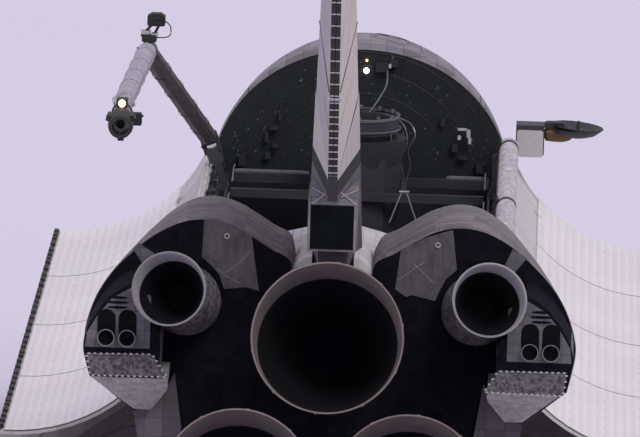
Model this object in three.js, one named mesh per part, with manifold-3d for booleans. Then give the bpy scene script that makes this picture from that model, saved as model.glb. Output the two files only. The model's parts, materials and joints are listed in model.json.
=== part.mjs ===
// A winged space shuttle orbiter, parked on its landing gear with its payload bay doors open.
//
// Stations are the orbiter's own structural inches: X runs aft from ahead of the nose, Y to
// starboard, Z up, and the payload bay's axis lies at Z 400. The model itself is in millimetres,
// X to starboard, Y forward and Z up, with its origin on the ground under the middle of its box.

import * as THREE from 'three';
import { mergeVertices } from 'three/addons/utils/BufferGeometryUtils.js';
import Module from 'manifold-3d';

const wasm = await Module();
wasm.setup();

const INCH = 25.4;
const SEAT_GAP = 0.3 / INCH;      // between pieces that rest on each other
const PIN_GAP = 0.3 / INCH;       // round a pin, rod or shaft
const RUN_GAP = 8 / INCH;         // between pieces that move past each other
const DEGREE = Math.PI / 180;

// Parked attitude: the nose stands lower than the tail
const PARK_PITCH = 3.5 * DEGREE;
const AXIS_Z = 400;               // payload bay axis
const PIVOT_X = 1172;             // main axle station, about which the orbiter is pitched

// Fuselage
const NOSE_JOINT_X = 300;         // nose cap to forward fuselage
const BAY_FRONT_X = 582;
const BAY_BACK_X = 1307;
const BASE_X = 1500;              // base heat shield
const AFT_WALL = 4;
const HALF_WIDTH = 106;
const DOOR_ELLIPSE = [107.5, 100.5];
const DOOR_THICKNESS = 2;
const BAY_RADIUS = 92;
const SILL_Z = 405;
const SIDE_TOP_Z = 418;
const SIDE_TOP_Y = 104.4;
const CABIN_WALL = 5;
const SPLIT_Z = 392;              // upper to lower forward fuselage
const DECK_Z = 384;               // flight deck floor
const WIDE = 700;                 // reach of a cutting block beyond the wing tips

// Payload bay doors and radiators
const HINGE_Y = 105;
const HINGE_Z = 424;
const HINGE_ROD = 1.5;
const DOOR_SWING = 175.5 * DEGREE;
const DOOR_CENTRE_GAP = 0.25;
const RADIATOR_FROM = 35 * DEGREE;
const RADIATOR_TO = 87.5 * DEGREE;
const RADIATOR_THICKNESS = 1;
const PANEL_LENGTH = (BAY_BACK_X - BAY_FRONT_X) / 4;

// Cradles of the robot arm and of the inspection boom
const CRADLE_Y = 91.8;
const CRADLE_Z = 410;
const CRADLE_REACH = 37;
const CRADLE_TILT = 20.4 * DEGREE;
const CRADLE_TUBE = 1.35;
const ARM_RADIUS = 6.6;
const JOINT_PIN = 0.5;
const ROLL_PIN = 1;
const SHOULDER_X = 679.5;
const UPPER_ARM = 251;
const LOWER_ARM = 278;
const WRIST_LINK = 18;
const HAND_LINK = 30;
const WRIST_NECK = 7.2;           // the wrist's yaw joint tapers from here
const WRIST_SHOULDER = 11.2;      // to full width here
const END_EFFECTOR = 26;
const SHOULDER_PITCH = 24.6 * DEGREE;
const ELBOW_PITCH = 22.2 * DEGREE;
const WRIST_PITCH = 5.5 * DEGREE;

// Wing
const ELEVON_HINGE_X = 1387;
const LUG_PIN = 0.5;
const WING_TIP_Y = 468;
const ELEVON_LIP = 0.37;          // how far the wing's rear lips end ahead of the hinge, as a share of its depth
const ELEVON_SPLIT_Y = [115, 311.5, 313.9, 467];

// Landing gear
const MAIN_AXLE = { x: 1172, y: 136, z: 189.1 };
const MAIN_TYRE = { radius: 22.25, width: 15.5, spacing: 26 };
const MAIN_PIN = 2.4;
const NOSE_PIN = 1.9;
const PISTON = 3.2;
const NOSE_AXLE = { x: 378, y: 0, z: 231.5 };
const NOSE_TYRE = { radius: 16, width: 8.8, spacing: 22 };

const COLOURS = {
  tile: [0x2b2b2e, 0.85, 0.0],
  blanket: [0xd6d3cf, 0.9, 0.0],
  carbon: [0x55565a, 0.6, 0.0],
  liner: [0x3a3b3e, 0.8, 0.1],
  radiator: [0xdcd8d6, 0.35, 0.2],
  metal: [0x8e9196, 0.4, 0.9],
  nozzle: [0x6a5f55, 0.45, 0.8],
  rubber: [0x1d1d1f, 0.9, 0.0],
  glass: [0x14181c, 0.1, 0.0],
  white: [0xd9d9d6, 0.5, 0.0],
};

const group = new THREE.Group();

// Points and solids

function at(x, y, z) {
  return new THREE.Vector3(y * INCH, (PIVOT_X - x) * INCH, (z - AXIS_Z) * INCH);
}

function solidOf(geometry) {
  const plain = geometry.clone();
  plain.deleteAttribute('normal');
  plain.deleteAttribute('uv');
  const merged = mergeVertices(plain, 1e-3);
  return new wasm.Manifold(new wasm.Mesh({
    numProp: 3,
    vertProperties: new Float32Array(merged.attributes.position.array),
    triVerts: new Uint32Array(merged.index.array),
  }));
}

function geometryOf(solid) {
  const mesh = solid.getMesh();
  const geometry = new THREE.BufferGeometry();
  const positions = new Float32Array(mesh.numVert * 3);
  for (let i = 0; i < mesh.numVert; i += 1) {
    for (let k = 0; k < 3; k += 1) positions[3 * i + k] = mesh.vertProperties[mesh.numProp * i + k];
  }
  geometry.setAttribute('position', new THREE.BufferAttribute(positions, 3));
  geometry.setIndex(new THREE.BufferAttribute(new Uint32Array(mesh.triVerts), 1));
  return geometry;
}

function add(name, solid, colour) {
  const [tint, roughness, metalness] = COLOURS[colour];
  const material = new THREE.MeshStandardMaterial({ color: tint, roughness, metalness, flatShading: true });
  const mesh = new THREE.Mesh(geometryOf(solid), material);
  mesh.name = name;
  group.add(mesh);
}

function union(...solids) {
  return solids.reduce((whole, next) => whole.add(next));
}

function cut(solid, ...tools) {
  return tools.reduce((rest, tool) => rest.subtract(tool), solid);
}

// Twice the area of a ring of points, as a vector square to it
function ringNormal(ring) {
  return ring.reduce((sum, p, i) => sum.add(new THREE.Vector3().crossVectors(p, ring[(i + 1) % ring.length])),
    new THREE.Vector3());
}

// A flat ring of points closed by triangles that face along the given way
function capTriangles(ring, way) {
  const axes = ['x', 'y', 'z'];
  const square = ringNormal(ring);
  const drop = axes.reduce((best, axis) => (Math.abs(square[axis]) > Math.abs(square[best]) ? axis : best),
    'x');
  const [u, v] = axes.filter((axis) => axis !== drop);
  const flat = ring.map((point) => new THREE.Vector2(point[u], point[v]));
  const triangles = THREE.ShapeUtils.triangulateShape(flat, []);
  const total = new THREE.Vector3();
  triangles.forEach(([a, b, c]) => total.add(new THREE.Vector3().subVectors(ring[b], ring[a])
    .cross(new THREE.Vector3().subVectors(ring[c], ring[a]))));
  return total.dot(way) > 0 ? triangles : triangles.map(([a, b, c]) => [a, c, b]);
}

// A closed body through rings of equal counts of points
function loft(rings) {
  const count = rings[0].length;
  const centre = (ring) => ring.reduce((sum, p) => sum.add(p), new THREE.Vector3()).divideScalar(count);
  const run = new THREE.Vector3().subVectors(centre(rings[rings.length - 1]), centre(rings[0]));
  const forward = ringNormal(rings[0]).dot(run) > 0;
  const index = [];
  for (let s = 0; s + 1 < rings.length; s += 1) {
    for (let i = 0; i < count; i += 1) {
      const j = (i + 1) % count;
      const [a, b, c, d] = [s * count + i, s * count + j, (s + 1) * count + j, (s + 1) * count + i];
      index.push(...(forward ? [a, b, c, a, c, d] : [a, c, b, a, d, c]));
    }
  }
  const back = run.clone().negate();
  capTriangles(rings[0], back).forEach((t) => index.push(...t));
  const last = (rings.length - 1) * count;
  capTriangles(rings[rings.length - 1], run).forEach((t) => index.push(...t.map((k) => k + last)));
  const geometry = new THREE.BufferGeometry();
  const points = rings.flat().flatMap((p) => [p.x, p.y, p.z]);
  geometry.setAttribute('position', new THREE.BufferAttribute(new Float32Array(points), 3));
  geometry.setIndex(index);
  return solidOf(geometry);
}

// A box between two corners in stations
function block(x0, x1, y0, y1, z0, z1) {
  const [low, high] = [at(x1, Math.min(y0, y1), z0), at(x0, Math.max(y0, y1), z1)];
  const size = new THREE.Vector3().subVectors(high, low);
  const geometry = new THREE.BoxGeometry(size.x, size.y, size.z);
  const middle = low.add(high).multiplyScalar(0.5);
  geometry.translate(middle.x, middle.y, middle.z);
  return solidOf(geometry);
}

// A round bar or cone between two points
function rod(from, to, radiusFrom, radiusTo = radiusFrom, sides = 10) {
  const run = new THREE.Vector3().subVectors(to, from);
  const geometry = new THREE.CylinderGeometry(radiusTo * INCH, radiusFrom * INCH, run.length(), sides);
  geometry.translate(0, run.length() / 2, 0);
  geometry.applyQuaternion(new THREE.Quaternion().setFromUnitVectors(new THREE.Vector3(0, 1, 0),
    run.normalize()));
  geometry.translate(from.x, from.y, from.z);
  return solidOf(geometry);
}

// Pins and shafts have enough sides that their bores, whose flats lie outside them, still fit closely
const SIDES = [[0.51, 10], [0.8, 14], [1.1, 16], [1.6, 18], [2.6, 24], [Infinity, 28]];
const sidesFor = (radius) => SIDES.find(([limit]) => radius < limit)[1];

function pin(from, to, radius, radiusTo = radius) {
  return rod(from, to, radius, radiusTo, sidesFor(radius));
}

function bore(from, to, radius, radiusTo = radius) {
  const round = Math.cos(Math.PI / sidesFor(radius));
  return rod(from, to, (radius + PIN_GAP) / round, (radiusTo + PIN_GAP) / round, sidesFor(radius));
}

// A turned body: profile rows are [distance along, radius], closed on themselves or on the axis
function turned(from, way, profile, sides = 24) {
  const geometry = new THREE.LatheGeometry(profile.map(([s, r]) => new THREE.Vector2(r * INCH, s * INCH)),
    sides);
  geometry.applyQuaternion(new THREE.Quaternion().setFromUnitVectors(new THREE.Vector3(0, 1, 0), way));
  geometry.translate(from.x, from.y, from.z);
  let solid = solidOf(geometry);
  if (solid.volume() < 0) {
    const flipped = geometry.toNonIndexed();
    const array = flipped.attributes.position.array;
    for (let i = 0; i < array.length; i += 9) {
      for (let k = 0; k < 3; k += 1) [array[i + 3 + k], array[i + 6 + k]] = [array[i + 6 + k],
        array[i + 3 + k]];
    }
    solid = solidOf(flipped);
  }
  return solid;
}

// A flat outline in stations X and Z, carried across from one Y to another
function plate(outline, y0, y1) {
  return loft([y0, y1].map((y) => outline.map(([x, z]) => at(x, y, z))));
}

function mirrored(solid) {
  return solid.mirror([1, 0, 0]);
}

function turnedAbout(solid, point, axis, angle) {
  const turn = new THREE.Matrix4().makeTranslation(point.x, point.y, point.z)
    .multiply(new THREE.Matrix4().makeRotationAxis(axis, angle))
    .multiply(new THREE.Matrix4().makeTranslation(-point.x, -point.y, -point.z));
  return solid.transform(turn.elements);
}

// Fuselage

// Columns: station, half width, top, height of the widest point, bottom, roundness of the lower half
const FUSELAGE = [
  [243, 12, 349, 339, 329, 2.0],
  [262, 31, 371, 340, 312, 2.0],
  [NOSE_JOINT_X, 52, 392, 343, 298, 2.1],
  [350, 71, 411, 348, 288, 2.3],
  [418, 88, 437, 358, 282, 2.6],
  [455, 96, 468, 370, 280, 3.3],
  [490, 101, 491, 384, 279, 3.8],
  [530, 104, 498, 394, 278, 4.4],
  [BAY_FRONT_X, HALF_WIDTH, 500.5, 400, 277, 6],
  [BAY_BACK_X, HALF_WIDTH, 500.5, 400, 277, 6],
  [1420, HALF_WIDTH, 500.5, 400, 279, 6],
  [BASE_X, 104, 500.5, 400, 283, 6],
];

function fuselageRow(x) {
  const found = FUSELAGE.findIndex((row) => row[0] >= x);
  const after = found < 1 ? (found < 0 ? FUSELAGE.length - 1 : 1) : found;
  const [a, b] = [FUSELAGE[after - 1], FUSELAGE[after]];
  const t = (x - a[0]) / (b[0] - a[0]);
  return a.map((value, i) => value + t * (b[i] - value));
}

// Outline of the fuselage at one station, moved in by a wall's thickness
function fuselageRing(x, inset = 0, sides = 24) {
  const [, halfWidth, top, waist, bottom, power] = fuselageRow(x);
  const ring = [];
  for (let i = 0; i < sides; i += 1) {
    const angle = ((i + 0.5) / sides) * 2 * Math.PI;
    const [c, s] = [Math.cos(angle), Math.sin(angle)];
    const upper = s > 0;
    const reach = (upper ? top - waist : waist - bottom) - inset;
    const exponent = upper ? 1 : 2 / power;
    const y = Math.sign(c) * Math.abs(c) ** exponent * (halfWidth - inset);
    const z = waist + Math.sign(s) * Math.abs(s) ** exponent * reach;
    ring.push(at(x, y, z));
  }
  return ring;
}

// The fuselage between two stations. It always runs through every row of the table, so that
// skins of different depth stay parallel, and is then cut to length.
function fuselageBetween(x0, x1, inset = 0) {
  const last = FUSELAGE[FUSELAGE.length - 1][0];
  const stations = [...FUSELAGE.map((row) => row[0]), last + 100];
  return loft(stations.map((x) => fuselageRing(x, inset))).intersect(block(x0, x1, -WIDE, WIDE, 0, 1000));
}

const grownFuselage = fuselageBetween(243, BASE_X, -SEAT_GAP);

// Nose cap: the tip is a short dome in front of the first station
function noseCap() {
  const tip = [239, 240.2].map((x, i) => fuselageRing(243).map((p) => {
    const scale = [0.35, 0.75][i];
    const middle = at(x, 0, 339);
    return new THREE.Vector3(p.x * scale, middle.y, middle.z + (p.z - middle.z) * scale);
  }));
  return loft([...tip, ...[243, 262, NOSE_JOINT_X - SEAT_GAP].map((x) => fuselageRing(x))]);
}

// Forward windows. Columns: azimuth from dead ahead, tilt up, station, Y, Z, width, height
const WINDSHIELD = [
  [11, 42, 452, 16, 462, 25, 30],
  [38, 40, 456, 45, 459, 24, 30],
  [66, 30, 474, 72, 453, 22, 28],
];
const OVERHEAD = { x: 533, y: 22, length: 20, width: 20 };
const AFT_WINDOW = { y: 15, z: 445, width: 11, height: 14 };
const HATCH = { x: 524, z: 352, radius: 20 };

function windowPrism([azimuth, tilt, x, y, z, width, height], side, trim) {
  const geometry = new THREE.BoxGeometry((width - 2 * trim) * INCH, 40 * INCH, (height - 2 * trim) * INCH);
  geometry.rotateX(tilt * DEGREE);
  geometry.rotateZ(-side * azimuth * DEGREE);
  const middle = at(x, side * y, z);
  geometry.translate(middle.x, middle.y, middle.z);
  return solidOf(geometry);
}

function windows(trim) {
  const prisms = [-1, 1].flatMap((side) => [
    ...WINDSHIELD.map((row) => windowPrism(row, side, trim)),
    block(OVERHEAD.x - OVERHEAD.length / 2 + trim, OVERHEAD.x + OVERHEAD.length / 2 - trim,
      side * (OVERHEAD.y - OVERHEAD.width / 2 + trim), side * (OVERHEAD.y + OVERHEAD.width / 2 - trim),
        470, 510),
  ]);
  return union(...prisms);
}

const CABIN_FRONT_X = 418;
const CABIN_BACK_X = BAY_FRONT_X - 6;
const shell = fuselageBetween(NOSE_JOINT_X, CABIN_BACK_X);
const cabinSpace = fuselageBetween(CABIN_FRONT_X, BAY_FRONT_X, CABIN_WALL);
const NOSE_WELL = { x0: 304, x1: 402, half: 20, roof: 326 };
const noseWell = block(NOSE_WELL.x0, NOSE_WELL.x1, -NOSE_WELL.half, NOSE_WELL.half, 250, NOSE_WELL.roof);

function hatchDisc(radius, y0, y1) {
  return rod(at(HATCH.x, y0, HATCH.z), at(HATCH.x, y1, HATCH.z), radius, radius, 24);
}

function forwardFuselage() {
  const hollow = cut(shell, cabinSpace);
  const lower = cut(hollow, block(200, 700, -WIDE, WIDE, SPLIT_Z, 600), noseWell,
    hatchDisc(HATCH.radius + RUN_GAP, -130, -60));
  const hinge = pin(at(HATCH.x - 9, -HATCH_PIN.y, HATCH_PIN.z), at(HATCH.x + 9, -HATCH_PIN.y, HATCH_PIN.z),
    0.5);
  const ears = [-9, 7].map((dx) => block(HATCH.x + dx, HATCH.x + dx + 2, -HATCH_PIN.y - 1, -98,
    HATCH_PIN.z - 4,
    HATCH_PIN.z + 1));
  add('lower_forward_fuselage', union(lower, hinge, ...ears), 'tile');
  const upper = cut(hollow, block(200, 700, -WIDE, WIDE, 200, SPLIT_Z + SEAT_GAP), windows(0));
  add('upper_forward_fuselage', upper, 'blanket');
  const band = fuselageBetween(CABIN_FRONT_X + SEAT_GAP, 546, CABIN_WALL + SEAT_GAP)
    .subtract(fuselageBetween(CABIN_FRONT_X - 1, BAY_FRONT_X, CABIN_WALL + 1.2));
  const panes = band.subtract(block(400, 600, -WIDE, WIDE, 200, 436));
  add('windshield_glass', panes, 'glass');
}

// Side hatch, hinged along its lower edge
const HATCH_PIN = { y: 105.6, z: HATCH.z - HATCH.radius - 2.5 };
function sideHatch() {
  const door = cut(shell, fuselageBetween(CABIN_FRONT_X, BAY_FRONT_X, CABIN_WALL - 0.5))
    .intersect(hatchDisc(HATCH.radius, -130, -60));
  const strap = cut(union(
    rod(at(HATCH.x - 5, -HATCH_PIN.y, HATCH_PIN.z), at(HATCH.x + 5, -HATCH_PIN.y, HATCH_PIN.z), 1.2),
    block(HATCH.x - 5, HATCH.x + 5, -HATCH_PIN.y - 1.2, -HATCH_PIN.y + 1, HATCH_PIN.z, HATCH_PIN.z + 10),
    block(HATCH.x - 5, HATCH.x + 5, -HATCH_PIN.y, -100, HATCH_PIN.z + 4.5, HATCH_PIN.z + 10),
  ), bore(at(HATCH.x - 9, -HATCH_PIN.y, HATCH_PIN.z), at(HATCH.x + 9, -HATCH_PIN.y, HATCH_PIN.z), 0.5));
  add('side_hatch', union(door, strap), 'blanket');
}

// Inside of the cabin: two floors, two seats, the instrument panel and the aft control station
function flightDeck() {
  const inside = fuselageBetween(CABIN_FRONT_X + SEAT_GAP, CABIN_BACK_X, CABIN_WALL + SEAT_GAP);
  const upperFloor = block(430, CABIN_BACK_X - SEAT_GAP, -WIDE, WIDE, DECK_Z, DECK_Z + 3);
  const lowerFloor = block(430, CABIN_BACK_X - SEAT_GAP, -WIDE, WIDE, 300, 303);
  const frame = block(510, 513, -12, 12, 302, DECK_Z + 1);
  const panel = plate([[438, DECK_Z + 2], [448, DECK_Z + 2], [452, 425], [438, 431]], -60, 60);
  const console = block(556, CABIN_BACK_X - SEAT_GAP, -60, 60, DECK_Z + 2, 430);
  const centre = block(448, 500, -8, 8, DECK_Z + 2, 402);
  const deck = union(upperFloor, lowerFloor, frame, panel, console, centre).intersect(inside);
  add('flight_deck', deck, 'liner');
  const seats = [-27, 27].map((y) => union(
    block(487, 509, y - 10, y + 10, 400, 406),
    plate([[505, 404], [510, 404], [517, 446], [512, 446]], y - 10, y + 10),
    block(491, 506, y - 5, y + 5, DECK_Z + 3 + SEAT_GAP, 401)));
  const rail = block(500.5, 505, -32, 32, DECK_Z + 3 + SEAT_GAP, DECK_Z + 5);
  add('crew_seats', union(...seats, rail), 'liner');
}

// Forward wall of the payload bay, with two aft-looking windows and the airlock hatchway
function bayBulkhead() {
  const wall = fuselageBetween(CABIN_BACK_X + SEAT_GAP, BAY_FRONT_X - SEAT_GAP);
  const panes = [-1, 1].map((side) => block(570, 590,
    side * (AFT_WINDOW.y - AFT_WINDOW.width / 2), side * (AFT_WINDOW.y + AFT_WINDOW.width / 2),
    AFT_WINDOW.z - AFT_WINDOW.height / 2, AFT_WINDOW.z + AFT_WINDOW.height / 2));
  add('payload_bay_bulkhead', cut(wall, ...panes), 'liner');
}

// Docking system: tunnel, airlock, truss and ring. The ring's top face is the docking plane.
const DOCKING = { x: 668, ringZ: 462, ringRadius: 27 };
function dockingSystem() {
  const up = new THREE.Vector3(0, 0, 1);
  const airlock = rod(at(DOCKING.x, 0, 352), at(DOCKING.x, 0, 436), 31, 31, 10);
  const tunnel = rod(at(BAY_FRONT_X, 0, 380), at(DOCKING.x, 0, 380), 20, 20, 10);
  const collar = turned(at(DOCKING.x, 0, 430), up,
    [[0, 0], [0, 30], [18, 33], [18, 24], [22, DOCKING.ringRadius], [32, DOCKING.ringRadius], [32, 21],
      [14, 21],
      [14, 0]], 16);
  const beams = [DOCKING.x - 34, DOCKING.x + 30].map((x) => block(x, x + 4, -88, 88, 408, 414));
  const keel = block(DOCKING.x - 4, DOCKING.x + 4, -10, 10, 309, 356);
  const solid = union(airlock, tunnel, collar, ...beams, keel,
    ...[-1, 1].flatMap((side) => [block(DOCKING.x - 34, DOCKING.x + 34, side * 30, side * 34, 408, 414)]));
  const ahead = block(0, BAY_FRONT_X + SEAT_GAP, -50, 50, 0, 600);
  add('docking_system', solid.intersect(bayTrim(SEAT_GAP)).subtract(ahead), 'metal');
}

// The payload bay: a round trough, upright above its axis
function bayTrim(gap) {
  const ring = (x) => {
    const radius = BAY_RADIUS - gap;
    const low = Array.from({ length: 13 }, (_, i) => Math.PI + (i / 12) * Math.PI)
      .map((a) => at(x, radius * Math.cos(a), AXIS_Z + radius * Math.sin(a)));
    return [...low, at(x, radius, 640), at(x, -radius, 640)];
  };
  return loft([ring(BAY_FRONT_X - 10), ring(BAY_BACK_X + 10)]);
}

function midFuselage() {
  const [x0, x1] = [BAY_FRONT_X, BAY_BACK_X];
  const outside = fuselageBetween(x0, x1);
  const above = block(x0 - 10, x1 + 10, -WIDE, WIDE, SILL_Z, 600);
  const trough = cut(outside, above, bayTrim(0));
  const sides = [-1, 1].map((side) => loft([x0, x1].map((x) => [
    at(x, side * 99.5, SILL_Z - 3), at(x, side * (HALF_WIDTH - 0.6), SILL_Z - 3),
    at(x, side * SIDE_TOP_Y, SIDE_TOP_Z), at(x, side * 99.5, SIDE_TOP_Z)])));
  const rods = [-1, 1].map((side) => pin(at(x0 + 1, side * HINGE_Y, HINGE_Z),
    at(x1 - 1, side * HINGE_Y, HINGE_Z), HINGE_ROD));
  const brackets = [-1, 1].flatMap((side) => BRACKET_X.map((x) =>
    block(x - 4, x + 4, side * 101, side * 105.4, SIDE_TOP_Z - 2, HINGE_Z - 0.6)));
  const bearings = [-1, 1].flatMap((side) => PEDESTAL_X.map((x) =>
    block(x + 5, x + 11, side * (CRADLE_Y + 0.9), side * (CRADLE_Y + 6), SILL_Z - 2, CRADLE_Z + 1)));
  const tubes = [-1, 1].map((side) => bore(at(CRADLE_X[0] - 4, side * CRADLE_Y, CRADLE_Z),
    at(CRADLE_X[1] + 4, side * CRADLE_Y, CRADLE_Z), CRADLE_TUBE));
  const antennaPost = union(block(ANTENNA.x - 6, ANTENNA.x + 6, ANTENNA.y - 1, 99.8, SILL_Z - 2,
    ANTENNA.z - 2.4),
    block(ANTENNA.x - 6, ANTENNA.x - 3.2, ANTENNA.y - 2, ANTENNA.y + 2, SILL_Z - 1, ANTENNA.z + 2),
    block(ANTENNA.x + 3.2, ANTENNA.x + 6, ANTENNA.y - 2, ANTENNA.y + 2, SILL_Z - 1, ANTENNA.z + 2));
  const antennaPin = pin(at(ANTENNA.x - 5, ANTENNA.y, ANTENNA.z), at(ANTENNA.x + 5, ANTENNA.y, ANTENNA.z), 1);
  const pad = rod(at(PIVOT_X + 60, 0, 270), at(PIVOT_X + 60, 0, 285), 12);
  const whole = union(trough, ...sides, ...rods, ...brackets, cut(union(...bearings), ...tubes),
    antennaPost, antennaPin, pad);
  add('mid_fuselage', cut(whole, gearWell(1), gearWell(-1)), 'blanket');
}

const BRACKET_X = Array.from({ length: 5 }, (_, i) => BAY_FRONT_X + 12 + (i * (BAY_BACK_X - BAY_FRONT_X - 24)) / 4);
const CRADLE_X = [662, 1266];
const PEDESTAL_X = [682, 911, 1180, 1256];
const ARM_STOW_X = 1200;          // aft of this the stowed arm's wrist hangs free of saddles
const ANTENNA = { x: 612, y: 95, z: 426, reach: 62, dish: 18 };

function gearWell(side) {
  return block(1040, 1208, side * 108, side * 166, 250, 322);
}

// Columns: station and Z of the lower edge's side view, under the base and ahead of the body flap
const HEEL = [[1440, 282], [BASE_X - 2, 283], [1526, 286], [1526, 300], [BASE_X - 2, 306], [1440, 306]];

function aftFuselage() {
  const outside = fuselageBetween(BAY_BACK_X + SEAT_GAP, BASE_X);
  const space = fuselageBetween(BAY_BACK_X + 5, BASE_X + 60, AFT_WALL);
  const heel = plate(HEEL, -96, 96).subtract(fuselageBetween(BAY_BACK_X + 5, BASE_X, AFT_WALL));
  const lugs = flap.lugs;
  add('aft_fuselage', union(cut(outside, space), cut(heel, flap.cove), lugs), 'blanket');
}

// Wings

// Columns: Y, leading edge X, greatest thickness, lowest Z; the trailing edge follows from Y
const WING = [
  [86, 560, 60, 278],
  [105, 590, 60, 278],
  [172, 1008, 52, 281],
  [300, 1136, 34, 288],
  [WING_TIP_Y, 1304, 15, 298],
];
const trailingX = (y) => 1525.24 - 0.1773 * y;
const EDGE_SHARE = 0.045;         // share of the chord covered by the leading edge pieces

function wingRow(y) {
  const after = Math.max(1, WING.findIndex((row) => row[0] >= y));
  const [a, b] = [WING[after - 1], WING[after]];
  const t = (y - a[0]) / (b[0] - a[0]);
  return a.map((value, i) => value + t * (b[i] - value));
}

// Upper and lower surface of the wing at a share of its chord
function wingSurface(y, share) {
  const [, lead, thick, low] = wingRow(y);
  const x = lead + share * (trailingX(y) - lead);
  const shape = 2.969 * Math.sqrt(share) - 1.26 * share - 3.516 * share ** 2
    + 2.843 * share ** 3 - 1.015 * share ** 4;
  const half = (thick / 2) * shape + 0.8 * share;
  const base = low + 0.3 * thick;
  return { x, top: base + 1.4 * half, bottom: base - 0.6 * half };
}

function wingRing(y, side) {
  const shares = [0, 0.006, 0.025, 0.08, 0.2, 0.4, 0.6, 0.8, 1];
  const top = shares.map((s) => wingSurface(y, s)).map((p) => at(p.x, side * y, p.top));
  const under = shares.slice(1).reverse().map((s) => wingSurface(y, s)).map((p) => at(p.x, side * y,
    p.bottom));
  return [...top, ...under];
}

function wingLoft(side) {
  return loft(WING.map((row) => wingRing(row[0], side)));
}

// A hinged surface. Ends hold the hinge's X, Y and Z, nose radius and trailing edge at both ends.
function hingedSurface(ends, lugShares, trailHalf = 1) {
  const rings = ends.map((e) => {
    const nose = Array.from({ length: 9 }, (_, i) => (80 + i * 25) * DEGREE)
      .map((a) => at(e.x + e.radius * Math.cos(a), e.y, e.z + e.radius * Math.sin(a)));
    return [...nose, at(e.trailX, e.y, e.trailZ - trailHalf), at(e.trailX, e.y, e.trailZ + trailHalf)];
  });
  const [p, q] = ends.map((e) => at(e.x, e.y, e.z));
  const along = (share) => p.clone().lerp(q, share);
  const length = p.distanceTo(q) / INCH;
  const beyond = 3 / length;
  const grow = ends.map((e) => e.radius + RUN_GAP);
  const cove = rod(along(-beyond), along(1 + beyond), grow[0] + 0.1, grow[1] + 0.1, 16);
  let moving = loft(rings);
  const lugs = lugShares.map((share) => {
    const [near, far] = [along(share - 2 / length), along(share + 2 / length)];
    const radius = ends[0].radius + share * (ends[1].radius - ends[0].radius);
    const eye = rod(near, far, radius * 0.38, radius * 0.38, 8);
    const [m, n] = [near, far].map((end) => end.clone());
    const arm = loft([m, n].map((end) => [[0, -1], [0, 1], [1, 1], [1, -1]].map(([fore, up]) =>
      new THREE.Vector3(end.x, end.y + fore * (radius + 3) * INCH, end.z + up * radius * 0.38 * INCH))));
    const shaft = pin(along(share - 4.2 / length), along(share + 4.2 / length), LUG_PIN);
    const slot = loft([along(share - (2 + RUN_GAP) / length),
      along(share + (2 + RUN_GAP) / length)].map((end) =>
      [[-1, -1], [-1, 1], [3, 1], [3, -1]].map(([fore, up]) =>
        new THREE.Vector3(end.x, end.y + fore * radius * 0.62 * INCH, end.z + up * radius * 2 * INCH))));
    const hole = bore(along(share - 4.4 / length), along(share + 4.4 / length), LUG_PIN);
    moving = cut(moving, slot, hole);
    return union(eye, arm, shaft);
  });
  return { moving, cove, lugs: union(...lugs) };
}

function elevonEnd(y, side) {
  const [, lead] = wingRow(y);
  const { top, bottom } = wingSurface(y, (ELEVON_HINGE_X - lead) / (trailingX(y) - lead));
  const trail = wingSurface(y, 1);
  return {
    x: ELEVON_HINGE_X, y: side * y, z: (top + bottom) / 2, radius: (top - bottom) / 2,
    trailX: trail.x, trailZ: (trail.top + trail.bottom) / 2,
  };
}

function wing(side) {
  const name = side > 0 ? 'starboard' : 'port';
  const root = union(block(1430, 1600, -97, 97, 200, 420),
    block(BASE_X - 1, 1600, -HALF_WIDTH, HALF_WIDTH, 200, 420));
  const whole = cut(wingLoft(side), grownFuselage, gearWell(side), root);
  const lip = (y, z) => at(ELEVON_HINGE_X - 0.5 - elevonEnd(y, side).radius * ELEVON_LIP, side * y, z);
  const behindHinge = loft([ELEVON_SPLIT_Y[0] - RUN_GAP, ELEVON_SPLIT_Y[3] + 60].map((y) =>
    [lip(y, 200), at(1700, side * y, 200), at(1700, side * y, 420), lip(y, 420)]));
  let fixed = whole.subtract(behindHinge);
  [[0, 1, 'inboard'], [2, 3, 'outboard']].forEach(([a, b, place]) => {
    const ends = [ELEVON_SPLIT_Y[a], ELEVON_SPLIT_Y[b]].map((y) => elevonEnd(y, side));
    const surface = hingedSurface(ends, [0.2, 0.8]);
    fixed = fixed.subtract(surface.cove).add(surface.lugs);
    add(`${name}_${place}_elevon`, surface.moving, 'blanket');
  });
  // Leading edge pieces cover the front of the wing from the glove's break to the tip
  const outer = cut(wingLoft(side), grownFuselage).intersect(block(500, 1500, side * 130, side * WIDE, 200,
    420));
  const front = loft([WING[1], WING[2], WING[4]].map(([y]) => y).map((y) => {
    const back = wingSurface(y, EDGE_SHARE).x;
    return [at(400, side * y, 200), at(back, side * y, 200), at(back, side * y, 420), at(400, side * y, 420)];
  }));
  const behind = loft([WING[1], WING[2], WING[4]].map(([y]) => y).map((y) => {
    const back = wingSurface(y, EDGE_SHARE).x + SEAT_GAP;
    return [at(400, side * y, 200), at(back, side * y, 200), at(back, side * y, 420), at(400, side * y, 420)];
  })).intersect(block(300, 1500, side * (130 - SEAT_GAP), side * WIDE, 200, 420));
  add(`${name}_wing_leading_edge`, outer.intersect(front), 'carbon');
  const doorLugs = [1080, 1168].map((x) => block(x - 3, x + 3, side * 166.2, side * 169.8, 276.5, 292));
  add(`${name}_wing`, union(fixed.subtract(behind), ...doorLugs), 'tile');
}

function bodyFlap() {
  const ends = [-118, 118].map((y) => ({ x: 1534, y, z: 293, radius: 6.5, trailX: 1613, trailZ: 289 }));
  return hingedSurface(ends, [0.12, 0.5, 0.88]);
}

// Tail

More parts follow.
